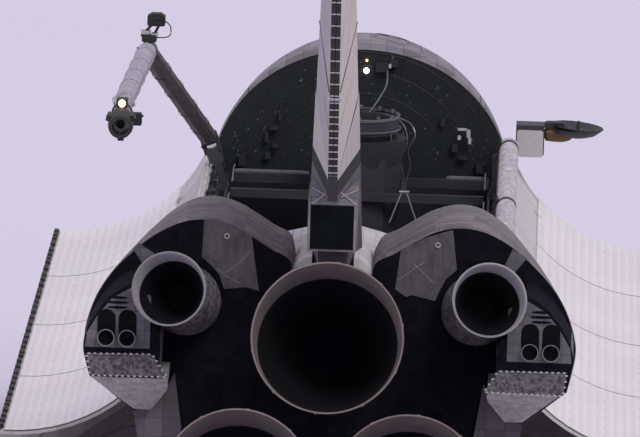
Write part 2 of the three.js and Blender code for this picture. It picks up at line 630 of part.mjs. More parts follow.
const FIN = { rootZ: 500.5, tipZ: 815.7, leadRootX: 1278, leadSlope: 1, trailRootX: 1546.4,
  trailSlope: 0.4931 };
const DOOR_PATH_RISE = 7;         // how high over the roof the closing doors' edges pass in front of the fin
const FIN_HINGE = { rootX: 1439, slope: 0.6958 };
const FIN_THICK = 0.065;          // half thickness at the hinge, as a share of the chord
const RUDDER_BASE = { x: 1524.4, z: 622.7 };
const HINGE_LEAN = Math.atan(FIN_HINGE.slope);
const RUDDER_SPAN = 230.6;
const RUDDER_TIP_Z = 811;
const RUDDER_GAP = 0.35;          // between the two halves
const SHAFT_RADIUS = [2.5, 1.4];

function finRing(z) {
  const rise = z - FIN.rootZ;
  const lead = FIN.leadRootX + rise * FIN.leadSlope;
  const trail = FIN.trailRootX + rise * FIN.trailSlope;
  const hinge = FIN_HINGE.rootX + rise * FIN_HINGE.slope;
  const half = FIN_THICK * (trail - lead);
  const points = [[lead, 0], [lead + 2, 1.2], [hinge, half], [trail, 3]];
  const other = points.slice(1).reverse().map(([x, y]) => [x, -y]);
  return [...points, ...other].map(([x, y]) => at(x, y, z));
}

// A point in the rudder's own frame: along the hinge, aft from it, and across
function rudderPoint(along, aft, across) {
  const [c, s] = [Math.cos(HINGE_LEAN), Math.sin(HINGE_LEAN)];
  return at(RUDDER_BASE.x + along * s + aft * c, across, RUDDER_BASE.z + along * c - aft * s);
}

const rudderHalf = (along) => 13.35 - (6.2 / RUDDER_SPAN) * along;
const rudderChord = (along) => 74.8 - 0.1506 * along;
const shaftRadius = (along) => SHAFT_RADIUS[0] + ((SHAFT_RADIUS[1] - SHAFT_RADIUS[0]) * along) / RUDDER_SPAN;
const RUDDER_LUGS = [4, 76, 148, 216];
const RUDDER_WEDGES = RUDDER_LUGS.slice(0, -1).map((along, i) => [along + 2.5, RUDDER_LUGS[i + 1] - 2.5]);

function rudderPanels(side) {
  const body = loft([0, RUDDER_SPAN + 32].map((along) => {
    const half = rudderHalf(along);
    const outline = [[0, RUDDER_GAP / 2], [0, half * 0.87], [half * 0.24, half * 0.97],
      [rudderChord(along), 3], [rudderChord(along), RUDDER_GAP / 2]];
    return outline.map(([aft, across]) => rudderPoint(along, aft, side * across));
  }));
  const shaft = bore(rudderPoint(-2, 0, 0), rudderPoint(RUDDER_SPAN + 2, 0, 0),
    shaftRadius(-2), shaftRadius(RUDDER_SPAN + 2));
  const tip = block(1300, 1800, -30, 30, RUDDER_TIP_Z, 900);
  const eyes = RUDDER_LUGS.map((along) => rod(rudderPoint(along - 2.6, 0, 0), rudderPoint(along + 2.6, 0, 0),
    shaftRadius(along) + 1.8, shaftRadius(along) + 1.8, 12));
  return cut(body, shaft, tip, ...eyes);
}

function tail() {
  const doorPath = block(1200, BAY_BACK_X + 0.6, -20, 20, FIN.rootZ - 10, FIN.rootZ + DOOR_PATH_RISE);
  const body = cut(loft([FIN.rootZ - 4, FIN.tipZ].map(finRing)), doorPath,
    fuselageBetween(1200, BASE_X + 1, -SEAT_GAP));
  const clear = RUN_GAP;
  const lip = (along) => -rudderHalf(along) - clear - 0.15;
  const zone = loft([-40, 40].map((y) => [
    rudderPoint(-clear, lip(-clear), y), rudderPoint(-clear, 140, y),
    rudderPoint(RUDDER_SPAN + 60, 140, y), rudderPoint(RUDDER_SPAN + 60, lip(RUDDER_SPAN + 60), y)]));
  const lugs = RUDDER_LUGS.map((along) => {
    const [low, high] = [along - 2, along + 2];
    const ring = (s) => [[-2, -0.65], [-2, 0.65], [-rudderHalf(s) - 3, 0.65], [-rudderHalf(s) - 3, -0.65]]
      .map(([aft, across]) => rudderPoint(s, aft, across));
    const round = shaftRadius(along) + 1.3;
    const eye = rod(rudderPoint(low, 0, 0), rudderPoint(high, 0, 0), round, round, 10);
    return union(loft([ring(low), ring(high)]), eye);
  });
  const shaftHole = bore(rudderPoint(-20, 0, 0), rudderPoint(RUDDER_SPAN + 20, 0, 0),
    shaftRadius(-20), shaftRadius(RUDDER_SPAN + 20));
  const foot = bore(rudderPoint(-9, 0, 0), rudderPoint(2, 0, 0), shaftRadius(-9), shaftRadius(2));
  const chuteSpace = block(CHUTE.x0 - SEAT_GAP, 1700, -CHUTE.half - SEAT_GAP, CHUTE.half + SEAT_GAP,
    CHUTE.z0 - 60, CHUTE.z1 + SEAT_GAP);
  const fin = union(cut(body, zone, foot), ...lugs.map((lug) => lug.subtract(shaftHole)));
  add('vertical_fin', fin.subtract(chuteSpace), 'tile');
  add('drag_chute_housing', block(CHUTE.x0, CHUTE.x1, -CHUTE.half, CHUTE.half, CHUTE.z0, CHUTE.z1), 'tile');
  const wedges = RUDDER_WEDGES.map(([low, high]) => loft([low, high].map((along) => [[0, 0], ...[-36, -12,
    12, 36]
    .map((angle) => [-Math.cos(angle * DEGREE), Math.sin(angle * DEGREE)])]
    .map(([aft, across]) => rudderPoint(along, aft * 0.93 * rudderHalf(along),
      across * 0.93 * rudderHalf(along))))));
  add('rudder_shaft', union(pin(rudderPoint(-8, 0, 0), rudderPoint(RUDDER_SPAN - 4, 0, 0),
    shaftRadius(-8), shaftRadius(RUDDER_SPAN - 4)), ...wedges), 'tile');
  add('port_rudder_panels', rudderPanels(-1), 'white');
  add('starboard_rudder_panels', rudderPanels(1), 'white');
}

const CHUTE = { x0: 1508, x1: 1562, half: 15, z0: 529, z1: 563 };

// Engines and pods

// Outline of a pod's outer side, from beside the fin over the top and down to its lower edge
const POD_OUTLINE = [
  [24, 494], [26, 511], [38, 518], [50, 525.5], [62, 532], [76, 535.5], [90, 534.5], [102, 530], [114, 522.5],
  [126, 512], [137, 500], [146, 485], [151.5, 469], [152.5, 456], [148, 434], [122, 413], [96, 412],
];
// Columns: station, share of the full section, share of its outer half's width
const POD_STATIONS = [
  [1309, 0.12, 0.12], [1325, 0.42, 0.4], [1345, 0.66, 0.6], [1370, 0.85, 0.74], [1400, 0.96, 0.82],
  [1440, 1, 0.89], [1500, 1, 1],
];
const POD_ANCHOR = [72, 455];     // towards which the pod narrows at its nose

function podRing(x, share, wide) {
  return (side) => POD_OUTLINE.map(([y, z]) => {
    const reach = y - POD_ANCHOR[0];
    return at(x, side * (POD_ANCHOR[0] + reach * (reach > 0 ? wide : share)),
      POD_ANCHOR[1] + (z - POD_ANCHOR[1]) * share);
  });
}

const RCS_HOUSING = [
  [108, 444.5], [108, 498], [122, 503], [134, 496], [143, 485], [149.5, 473], [151, 463], [149.5, 455],
  [146.5, 444.5],
];
const RCS_BACK_X = 1556;
const THRUSTERS = [[124, 470], [137, 470]];
const OMS = { x: 1579, y: 98.4, z: 505.3, radius: 22.4, length: 58, pitch: 15.8 * DEGREE, yaw: 6.5 * DEGREE };

function omsWay(side) {
  return new THREE.Vector3(side * Math.sin(OMS.yaw), -Math.cos(OMS.yaw) * Math.cos(OMS.pitch),
    Math.sin(OMS.pitch)).normalize();
}

function pod(side) {
  const name = side > 0 ? 'starboard' : 'port';
  const body = loft(POD_STATIONS.map(([x, share, wide]) => podRing(x, share, wide)(side)));
  const housing = loft([1490, RCS_BACK_X].map((x) => RCS_HOUSING.map(([y, z]) => at(x, side * y, z))));
  const way = omsWay(side);
  const exit = at(OMS.x, side * OMS.y, OMS.z);
  const throat = exit.clone().addScaledVector(way, -OMS.length * INCH);
  const socket = rod(exit.clone().addScaledVector(way, -(OMS.length + 6) * INCH),
    exit.clone().addScaledVector(way, 30 * INCH), 15, 34, 12);
  const bells = THRUSTERS.map(([y, z]) => turned(at(RCS_BACK_X - 8, side * y, z), new THREE.Vector3(0, -1, 0),
    [[0, 0], [0, 3], [12, 5.2], [12, 4.6], [1, 2.2], [1, 0]], 8));
  const holes = THRUSTERS.map(([y, z]) => rod(at(RCS_BACK_X - 7.5, side * y, z),
    at(RCS_BACK_X + 9, side * y, z), 2.6, 4.7, 8));
  const mount = rod(throat.clone().addScaledVector(way, -30 * INCH),
    throat.clone().addScaledVector(way, -SEAT_GAP * INCH), 10, 10, 10);
  const whole = cut(union(body, housing), socket, ...holes);
  add(`${name}_oms_pod`, cut(union(whole, mount, ...bells), grownFuselage, grownFin()), 'blanket');
  const r = OMS.radius;
  const bell = turned(throat, way, [[0, 0], [0, 9], [10, 9], [30, 15.8], [OMS.length, r], [OMS.length,
    r - 0.7],
    [30, 14.9], [10, 6], [3, 5], [3, 0]], 16);
  add(`${name}_oms_nozzle`, bell, 'nozzle');
}

function grownFin() {
  return loft([FIN.rootZ - 20, FIN.rootZ + 60].map((z) => finRing(z).map((p) =>
    new THREE.Vector3(p.x + Math.sign(p.x) * SEAT_GAP * INCH, p.y, p.z))));
}

// Columns: name, exit X, Y, Z, pitch in degrees
const MAIN_ENGINES = [
  ['upper', 1597, 0, 481.6, 17.3],
  ['port', 1619, -52.3, 392.7, 18.5],
  ['starboard', 1619, 52.3, 392.7, 18.5],
];
const BELL_LENGTH = 120;
const BELL_EXIT = 47;
// Columns: distance from the throat end, outer radius
const BELL_PROFILE = [[0, 13], [8, 13], [30, 24], [66, 36], [BELL_LENGTH, BELL_EXIT]];

function engineAxis([, x, y, z, pitch]) {
  const way = new THREE.Vector3(0, -Math.cos(pitch * DEGREE), Math.sin(pitch * DEGREE));
  const exit = at(x, y, z);
  return { way, throat: exit.clone().addScaledVector(way, -BELL_LENGTH * INCH) };
}

function engines() {
  const blocks = MAIN_ENGINES.map((row) => {
    const { way, throat } = engineAxis(row);
    const inner = BELL_PROFILE.slice(1).reverse().map(([s, r]) => [s, r - 1.4]);
    add(`${row[0]}_main_engine_nozzle`, turned(throat, way,
      [[0, 0], ...BELL_PROFILE, ...inner.slice(0, -1), [12, 11], [12, 0]], 20), 'nozzle');
    const back = throat.clone().addScaledVector(way, -SEAT_GAP * INCH);
    return rod(back.clone().addScaledVector(way, -98 * INCH), back, 23, 23, 12);
  });
  const beam = block(1404, 1420, -101.9, 101.9, 372, 404);
  const post = block(1404, 1420, -16, 16, 290, 470);
  const feet = [-1, 1].map((side) => block(1404, 1420, side * 40, side * 66, 310, 400));
  const space = fuselageBetween(BAY_BACK_X + 5.1, BASE_X - 6.1, AFT_WALL + SEAT_GAP);
  const shield = fuselageBetween(BASE_X - 6, BASE_X - 1, AFT_WALL + SEAT_GAP);
  const openings = MAIN_ENGINES.map((row) => {
    const { way, throat } = engineAxis(row);
    return rod(throat.clone().addScaledVector(way, -90 * INCH),
      throat.clone().addScaledVector(way, 40 * INCH), 28.5, 28.5, 12);
  });
  const inside = union(...blocks, beam, post, ...feet).intersect(space);
  const behind = union(...blocks).intersect(block(BASE_X - 12, BASE_X + 40, -WIDE, WIDE, 0, 1000));
  add('main_engine_block', union(inside, behind), 'metal');
  add('base_heat_shield', cut(shield, ...openings), 'liner');
}

// Payload bay doors and radiators, drawn closed and then swung open about their hinge rods

// Angles round the door's arc, shared by the door and what lines it
const DOOR_FROM = Math.asin((HINGE_Z - AXIS_Z) / DOOR_ELLIPSE[1]);
const DOOR_TO = Math.PI / 2 - DOOR_CENTRE_GAP / DOOR_ELLIPSE[0];
const steps = (from, to, count) => Array.from({ length: count }, (_, i) => from + ((to - from) * i) / count);
const LINING_ANGLES = [...steps(RADIATOR_FROM, RADIATOR_TO, 9), RADIATOR_TO];
const DOOR_ANGLES = [...steps(DOOR_FROM, RADIATOR_FROM, 4), ...LINING_ANGLES, DOOR_TO];
const FIRST_STEP = LINING_ANGLES.slice(0, 2);

function doorRing(x, inner, outer, angles) {
  const arc = (depth, run) => run.map((a) => [
    (DOOR_ELLIPSE[0] - depth) * Math.cos(a), AXIS_Z + (DOOR_ELLIPSE[1] - depth) * Math.sin(a)]);
  return [...arc(outer, angles), ...arc(inner, angles.slice().reverse())].map(([y, z]) => at(x, y, z));
}

const hingePoint = (side) => at(0, side * HINGE_Y, HINGE_Z);
const BOW = new THREE.Vector3(0, 1, 0);

function swungOpen(solid, side) {
  const open = turnedAbout(solid, hingePoint(1), BOW, DOOR_SWING);
  return side > 0 ? open : mirrored(open);
}

const RADIATOR_HINGE_DEPTH = DOOR_THICKNESS + RADIATOR_THICKNESS + 0.6;
const RADIATOR_PIN = { y: (DOOR_ELLIPSE[0] - RADIATOR_HINGE_DEPTH) * Math.cos(RADIATOR_FROM - 0.022),
  z: AXIS_Z + (DOOR_ELLIPSE[1] - RADIATOR_HINGE_DEPTH) * Math.sin(RADIATOR_FROM - 0.022) };

const RADIATOR_HINGES = [0.3, 1.6].map((panels) => BAY_FRONT_X + panels * PANEL_LENGTH + 12);

function panelRange(first, last) {
  return [BAY_FRONT_X + first * PANEL_LENGTH, BAY_FRONT_X + last * PANEL_LENGTH];
}

function payloadDoor(side) {
  const name = side > 0 ? 'starboard' : 'port';
  const [x0, x1] = [BAY_FRONT_X + 0.6, BAY_BACK_X - 0.6];
  const rodSpace = bore(at(x0 - 5, HINGE_Y, HINGE_Z), at(x1 + 5, HINGE_Y, HINGE_Z), HINGE_ROD);
  const shellSolid = loft([x0, x1].map((x) => doorRing(x, DOOR_THICKNESS, 0, DOOR_ANGLES)));
  const lining = [0, 1, 2, 3].map((k) => {
    const [a, b] = panelRange(k, k + 1);
    return loft([a + 0.7, b - 0.7].map((x) =>
      doorRing(x, DOOR_THICKNESS + RADIATOR_THICKNESS, DOOR_THICKNESS + SEAT_GAP, LINING_ANGLES)));
  });
  const pinEnds = RADIATOR_HINGES.map((x) => [x - 3.5, x + 3.5]);
  const pins = pinEnds.map(([a, b]) => union(
    pin(at(a, RADIATOR_PIN.y, RADIATOR_PIN.z), at(b, RADIATOR_PIN.y, RADIATOR_PIN.z), 0.45),
    ...[[a, a + 1.5], [b - 1.5, b]].map(([c, d]) => loft([c, d].map((x) =>
      doorRing(x, RADIATOR_HINGE_DEPTH + 0.4, DOOR_THICKNESS - 0.5, [RADIATOR_FROM - 0.032,
        RADIATOR_FROM - 0.012]))))));
  add(`${name}_payload_door`, swungOpen(union(cut(shellSolid, rodSpace), ...pins), side), 'white');
  const join = (first) => loft([20, -20].map((dx, i) => doorRing(panelRange(first, first + 2)[i] + dx,
    DOOR_THICKNESS + RADIATOR_THICKNESS, DOOR_THICKNESS + 0.4, FIRST_STEP)));
  add(`${name}_aft_radiators`, swungOpen(union(lining[2], lining[3], join(2)), side), 'radiator');
  const knuckles = pinEnds.map(([a, b]) => cut(union(
    rod(at(a + 2, RADIATOR_PIN.y, RADIATOR_PIN.z), at(b - 2, RADIATOR_PIN.y, RADIATOR_PIN.z), 0.95, 0.95, 10),
    loft([a + 2, b - 2].map((x) => doorRing(x, RADIATOR_HINGE_DEPTH + 0.3, DOOR_THICKNESS + 0.5,
      [RADIATOR_FROM - 0.02, RADIATOR_FROM + 0.03])))),
  bore(at(a - 1, RADIATOR_PIN.y, RADIATOR_PIN.z), at(b + 1, RADIATOR_PIN.y, RADIATOR_PIN.z), 0.45)));
  add(`${name}_forward_radiators`, swungOpen(union(lining[0], lining[1], join(0), ...knuckles), side),
    'radiator');
}

// Cradles, robot arm, inspection boom and antenna

const lean = (side) => new THREE.Vector3(side * Math.sin(CRADLE_TILT), 0, Math.cos(CRADLE_TILT));
const AFT = new THREE.Vector3(0, -1, 0);

function cradlePoint(side, x, reach) {
  return at(x, side * CRADLE_Y, CRADLE_Z).addScaledVector(lean(side), reach * INCH);
}

// One cradle: a turning tube along the sill with saddles for what it carries
function cradle(side, stations, clearance) {
  const tube = pin(at(CRADLE_X[0], side * CRADLE_Y, CRADLE_Z),
    at(CRADLE_X[1], side * CRADLE_Y, CRADLE_Z), CRADLE_TUBE);
  const posts = stations.map((x) => {
    const across = new THREE.Vector3(Math.cos(CRADLE_TILT), 0, -side * Math.sin(CRADLE_TILT));
    const ring = (reach, half) => [[-3.5, -half], [-3.5, half], [3.5, half], [3.5, -half]].map(([dx, dy]) =>
      cradlePoint(side, x + dx, reach).addScaledVector(across, dy * INCH));
    return loft([ring(-1, 1.4), ring(12, 2.2), ring(26, 2.6), ring(30.5, 5.5), ring(34, 7)]);
  });
  const held = rod(cradlePoint(side, 600, CRADLE_REACH), cradlePoint(side, 1400, CRADLE_REACH),
    ARM_RADIUS + clearance, ARM_RADIUS + clearance, 20);
  return cut(union(tube, ...posts), held);
}

// A joint that pitches about a pin: cheeks and pin on what carries it, an eye on what moves
function pinJoint(point, pinWay, backWay, foreWay) {
  const along = (way, s) => point.clone().addScaledVector(way, s * INCH);
  const bar = (way, from, to, half, low, high) => {
    const up = new THREE.Vector3().crossVectors(pinWay, way).normalize();
    const ring = (s) => [[low, -half], [high, -half], [high, half], [low, half]].map(([a, b]) =>
      along(way, s).addScaledVector(pinWay, a * INCH).addScaledVector(up, b * INCH));
    return loft([ring(from), ring(to)]);
  };
  const disc = (low, high, radius) => rod(along(pinWay, low), along(pinWay, high), radius, radius, 8);
  const cheeks = [[-6.2, -3.7], [3.7, 6.2]].flatMap(([low, high]) =>
    [disc(low, high, 4.6), bar(backWay, 0, 10, 4.6, low, high)]);
  const carrier = union(...cheeks, pin(along(pinWay, -6.2), along(pinWay, 6.2), JOINT_PIN));
  const eye = union(disc(-3.3, 3.3, 4.6), bar(foreWay, 0, 10, 4.2, -3.3, 3.3));
  return { carrier, mover: eye.subtract(bore(along(pinWay, -7), along(pinWay, 7), JOINT_PIN)) };
}

const armPlaneWay = (pitch) => AFT.clone().multiplyScalar(Math.cos(pitch))
  .addScaledVector(lean(-1), Math.sin(pitch));

const ARM = (() => {
  const shoulder = cradlePoint(-1, SHOULDER_X, CRADLE_REACH);
  const upperWay = armPlaneWay(SHOULDER_PITCH);
  const lowerWay = armPlaneWay(SHOULDER_PITCH - ELBOW_PITCH);
  const handWay = armPlaneWay(SHOULDER_PITCH - ELBOW_PITCH - WRIST_PITCH);
  const step = (from, way, s) => from.clone().addScaledVector(way, s * INCH);
  const elbow = step(shoulder, upperWay, UPPER_ARM);
  const wristPitch = step(elbow, lowerWay, LOWER_ARM);
  const wristYaw = step(wristPitch, handWay, WRIST_LINK);
  const wristRoll = step(wristYaw, handWay, HAND_LINK);
  const pitchPin = new THREE.Vector3().crossVectors(AFT, lean(-1)).normalize();
  const yawPin = new THREE.Vector3().crossVectors(pitchPin, handWay).normalize();
  return { shoulder, elbow, wristPitch, wristYaw, wristRoll, upperWay, lowerWay, handWay, pitchPin, yawPin };
})();

function robotArm() {
  const { shoulder, elbow, wristPitch, wristYaw, wristRoll, upperWay, lowerWay, handWay, pitchPin,
    yawPin } = ARM;
  const away = (way) => way.clone().negate();
  const along = (from, s) => from.clone().addScaledVector(handWay, s * INCH);
  const tube = (from, way, s0, s1, radius) => rod(from.clone().addScaledVector(way, s0 * INCH),
    from.clone().addScaledVector(way, s1 * INCH), radius, radius, 10);
  const shoulderJoint = pinJoint(shoulder, pitchPin, lean(-1).negate(), upperWay);
  const elbowJoint = pinJoint(elbow, pitchPin, away(upperWay), lowerWay);
  const pitchJoint = pinJoint(wristPitch, pitchPin, away(lowerWay), handWay);
  const yawJoint = pinJoint(wristYaw, yawPin, away(handWay), handWay);
  const base = union(cradle(-1, PEDESTAL_X.filter((x) => x < ARM_STOW_X), RUN_GAP), shoulderJoint.carrier,
    tube(at(SHOULDER_X, -CRADLE_Y, CRADLE_Z), lean(-1), 20, CRADLE_REACH - 7.5, 5.6));
  add('arm_cradle', base, 'metal');
  add('arm_upper_boom', union(shoulderJoint.mover, tube(shoulder, upperWay, 7.5, UPPER_ARM - 7.5, ARM_RADIUS),
    elbowJoint.carrier), 'liner');
  add('arm_lower_boom', union(elbowJoint.mover, tube(elbow, lowerWay, 7.5, LOWER_ARM - 6.8, ARM_RADIUS),
    pitchJoint.carrier), 'white');
  const taper = (way) => rod(wristYaw.clone().addScaledVector(way, WRIST_NECK * INCH),
    wristYaw.clone().addScaledVector(way, WRIST_SHOULDER * INCH), 3.3, 6.1, 6);
  add('arm_wrist_pitch', union(pitchJoint.mover, tube(wristPitch, handWay, 6.3,
    WRIST_LINK - WRIST_SHOULDER, 6.1),
    taper(away(handWay)), yawJoint.carrier), 'white');
  add('arm_wrist_yaw', union(yawJoint.mover, taper(handWay), tube(wristYaw, handWay, WRIST_SHOULDER,
    HAND_LINK, 6.1),
    pin(along(wristYaw, HAND_LINK - 1), along(wristYaw, HAND_LINK + 4), ROLL_PIN)), 'white');
  const hand = cut(tube(wristRoll, handWay, SEAT_GAP, END_EFFECTOR, 6.8),
    bore(along(wristRoll, -1), along(wristRoll, 5), ROLL_PIN), tube(wristRoll, handWay, 8,
      END_EFFECTOR + 1, 5.6));
  add('arm_end_effector', hand, 'liner');
}

function inspectionBoom() {
  add('boom_cradle', cradle(1, PEDESTAL_X, SEAT_GAP), 'metal');
  add('inspection_boom', rod(cradlePoint(1, CRADLE_X[0] + 8, CRADLE_REACH),
    cradlePoint(1, CRADLE_X[1] - 4, CRADLE_REACH), ARM_RADIUS, ARM_RADIUS, 20), 'white');
}

function antenna() {
  const { x, y, z } = ANTENNA;
  const barrel = rod(at(x - 2.8, y, z), at(x + 2.8, y, z), 2.2);
  const neck = plate([[x - 2.8, z - 1.6], [x + 2.8, z - 1.6], [x + 2.8, z + 1.6], [x - 2.8, z + 1.6]], y,
    y + 8);
  const riser = loft([[y + 7, z - 1.6, z + 2], [y + 15, z + 4, z + 10]].map(([py, low, high]) =>
    [at(x - 2.8, py, low), at(x + 2.8, py, low), at(x + 2.8, py, high), at(x - 2.8, py, high)]));
  const box = block(x - 9, x + 9, y + 14, y + 34, z + 5, z + 26);
  const yoke = rod(at(x, y + 33, z + 19), at(x, y + 57, z + 19.5), 3.5, 1.4, 10);
  const centre = at(x, y + ANTENNA.reach - 5, z + 20);
  const up = new THREE.Vector3(0.1, 0, 1).normalize();
  const dish = turned(centre, up, [[0, 0], [1, 11], [4.6, ANTENNA.dish], [5.6, ANTENNA.dish], [2.4, 11],
    [1.4, 0]], 16);
  const feed = rod(centre, centre.clone().addScaledVector(up, 9 * INCH), 1.2, 0.8, 12);
  const hub = rod(centre.clone().addScaledVector(up, -2.2 * INCH),
    centre.clone().addScaledVector(up, 1.3 * INCH), 6, 6, 10);
  const solid = cut(union(barrel, neck, riser, box, yoke, hub, dish, feed),
    bore(at(x - 6, y, z), at(x + 6, y, z), 1));
  add('link_antenna', solid, 'liner');
}

// Landing gear

// A twin wheel set on its turning axle
function wheelSet(axle, tyre, axleRadius) {
  const wheels = [-1, 1].map((end) => {
    const middle = axle.y + (end * tyre.spacing) / 2;
    const half = tyre.width / 2;
    return turned(at(axle.x, middle - half, axle.z), new THREE.Vector3(1, 0, 0), [
      [half * 0.4, 0], [half * 0.2, tyre.radius * 0.5], [0, tyre.radius * 0.78],
      [half * 0.3, tyre.radius * 0.95], [half * 0.7, tyre.radius], [half * 1.3, tyre.radius],
      [half * 1.7, tyre.radius * 0.95], [half * 2, tyre.radius * 0.78], [half * 1.8, tyre.radius * 0.5],
      [half * 1.6, 0]], 16);
  });
  const reach = tyre.spacing / 2;
  return union(...wheels, pin(at(axle.x, axle.y - reach, axle.z), at(axle.x, axle.y + reach, axle.z),
    axleRadius));
}

function mainGear(side) {
  const name = side > 0 ? 'starboard' : 'port';
  const axle = { ...MAIN_AXLE, y: side * MAIN_AXLE.y };
  const top = 322 - SEAT_GAP;
  const hub = rod(at(axle.x, axle.y - 4, axle.z), at(axle.x, axle.y + 4, axle.z), 5);
  const hole = bore(at(axle.x, axle.y - 9, axle.z), at(axle.x, axle.y + 9, axle.z), MAIN_PIN);
  const strut = union(
    rod(at(axle.x, axle.y, axle.z), at(axle.x, axle.y, 252), 3.4),
    rod(at(axle.x, axle.y, 236), at(axle.x, axle.y, top - 3), 6),
    rod(at(axle.x, axle.y - 20, top - 6), at(axle.x, axle.y + 20, top - 6), 4.5),
    block(axle.x - 5, axle.x + 5, axle.y - 16, axle.y + 16, top - 6, top),
    rod(at(axle.x, axle.y, 250), at(axle.x - 92, axle.y, top - 3), 2.6),
    block(axle.x - 98, axle.x - 88, axle.y - 6, axle.y + 6, top - 7, top),
    rod(at(axle.x + 7, axle.y, 212), at(axle.x + 7, axle.y, 238), 1.3),
    block(axle.x, axle.x + 8, axle.y - 1.6, axle.y + 1.6, 208, 214),
    block(axle.x, axle.x + 8, axle.y - 1.6, axle.y + 1.6, 236, 242));
  add(`${name}_main_gear_strut`, cut(union(strut, hub), hole), 'white');
  add(`${name}_main_wheels`, wheelSet(axle, MAIN_TYRE, MAIN_PIN), 'rubber');
  const door = loft([1046, 1202].map((x) => [
    at(x, side * 167.4, 214), at(x, side * 169.2, 214), at(x, side * 169.2, 246), at(x, side * 168.6,
      276.5 - SEAT_GAP),
    at(x, side * 166.8, 276.5 - SEAT_GAP), at(x, side * 167.4, 246)]));
  add(`${name}_main_gear_door`, door, 'tile');
}

function noseGear() {
  const { x, z } = NOSE_AXLE;
  const top = NOSE_WELL.roof - SEAT_GAP;
  const collar = 262;
  const cylinder = union(
    rod(at(x, 0, collar), at(x, 0, top - 3), 5),
    rod(at(x, -17, top - 5), at(x, 17, top - 5), 3.5),
    block(x - 5, x + 5, -15, 15, top - 5, top),
    rod(at(x, 0, 280), at(x - 56, 0, top - 3), 2.4),
    block(x - 62, x - 52, -8, 8, top - 6, top));
  const socket = bore(at(x, 0, collar - 2), at(x, 0, 292), PISTON);
  add('nose_gear_strut', cut(cylinder, socket), 'white');
  const hub = rod(at(x, -3.6, z), at(x, 3.6, z), 4);
  const hole = bore(at(x, -8, z), at(x, 8, z), NOSE_PIN);
  const fork = union(pin(at(x, 0, z), at(x, 0, 290), PISTON), rod(at(x, 0, 250), at(x, 0,
    collar - RUN_GAP), 5.4),
    block(x - 9, x, -1.4, 1.4, 251, 256), hub);
  add('nose_gear_fork', cut(fork, hole), 'white');
  add('nose_wheels', wheelSet(NOSE_AXLE, NOSE_TYRE, NOSE_PIN), 'rubber');
  [[-1, 'port'], [1, 'starboard']].forEach(([side, name]) => {
    const hang = (px) => fuselageRow(px)[4];
    const door = loft([306, 398].map((px) => {
      const seat = hang(px) + 0.6;
      return [at(px, side * 22.4, seat - 30), at(px, side * 23.8, seat - 30),
        at(px, side * 22, seat), at(px, side * 20.6, seat)];
    }));
    add(`${name}_nose_gear_door`, door.subtract(grownFuselage), 'tile');
  });
}

// The whole orbiter

const flap = bodyFlap();
add('body_flap', flap.moving, 'tile');
add('nose_cap', noseCap(), 'carbon');
forwardFuselage();
sideHatch();
flightDeck();
bayBulkhead();
dockingSystem();
midFuselage();
aftFuselage();
engines();
[-1, 1].forEach((side) => {
  pod(side);
  wing(side);
  payloadDoor(side);
  mainGear(side);
});
tail();
robotArm();
inspectionBoom();
antenna();
noseGear();

group.rotation.x = -PARK_PITCH;
group.updateMatrixWorld(true);
const parked = new THREE.Box3();
group.children.forEach((mesh) => parked.expandByObject(mesh, true));
group.position.set(0, -(parked.min.y + parked.max.y) / 2, -parked.min.z);
group.updateMatrixWorld(true);

export default group;
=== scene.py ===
import json
import math
import random

import bmesh
import bpy
from mathutils import Matrix, Vector


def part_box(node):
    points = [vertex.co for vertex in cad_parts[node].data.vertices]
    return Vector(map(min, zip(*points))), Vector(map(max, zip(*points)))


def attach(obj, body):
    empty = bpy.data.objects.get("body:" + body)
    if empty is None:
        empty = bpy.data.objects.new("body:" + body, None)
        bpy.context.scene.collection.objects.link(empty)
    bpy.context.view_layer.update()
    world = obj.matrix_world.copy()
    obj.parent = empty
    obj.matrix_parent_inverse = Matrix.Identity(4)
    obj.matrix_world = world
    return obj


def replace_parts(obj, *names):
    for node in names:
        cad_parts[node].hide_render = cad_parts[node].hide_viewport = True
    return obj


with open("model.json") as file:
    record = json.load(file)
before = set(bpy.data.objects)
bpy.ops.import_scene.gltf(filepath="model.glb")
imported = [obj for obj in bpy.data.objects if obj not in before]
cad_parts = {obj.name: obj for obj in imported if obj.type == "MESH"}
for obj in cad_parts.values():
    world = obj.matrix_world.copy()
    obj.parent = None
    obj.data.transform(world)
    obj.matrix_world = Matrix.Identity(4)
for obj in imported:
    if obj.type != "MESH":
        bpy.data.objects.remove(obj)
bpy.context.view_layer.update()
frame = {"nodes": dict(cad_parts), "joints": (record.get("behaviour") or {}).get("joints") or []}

INCH = 0.0254
NODES = frame["nodes"]
JOINTS = {j["name"]: Vector(j["pos_m"]) for j in frame["joints"]}
SIDES = ((-1, "port"), (1, "starboard"))

# The model's own frame. Points are given in the orbiter's structural inches, as in the CAD:
# X aft, Y starboard, Z up. The parked orbiter is pitched nose down about its main axle.
PITCH = math.radians(3.5)
TURN = Matrix.Rotation(-PITCH, 3, "X")
LEVEL = TURN.inverted()
MIDDLE_X = 1172
BAY_FRONT_X = 582
MIDDLE_Z = 400
AXLE_LOCAL = Vector((136 * INCH, 0, (189.1 - MIDDLE_Z) * INCH))
SHIFT = JOINTS["starboard_main_wheels_spin"] - TURN @ AXLE_LOCAL


def at(x, y, z):
    """A point in structural inches, in the row frame in metres."""
    return TURN @ Vector((y * INCH, (MIDDLE_X - x) * INCH, (z - MIDDLE_Z) * INCH)) + SHIFT


def way(x, y, z):
    """A direction in structural axes, in the row frame."""
    return (TURN @ Vector((y, -x, z))).normalized()


AFT = way(1, 0, 0)
UP = way(0, 0, 1)
STARBOARD = Vector((1, 0, 0))


def off(starboard=0.0, up=0.0, aft=0.0):
    """A shift given in inches along the orbiter's axes, in the row frame in metres."""
    return (STARBOARD * starboard + UP * up + AFT * aft) * INCH


def turns(count, start=0.0):
    """Angles evenly round a circle."""
    return [2 * math.pi * k / count + start for k in range(count)]


def around(a, b, turn):
    return a * math.cos(turn) + b * math.sin(turn)


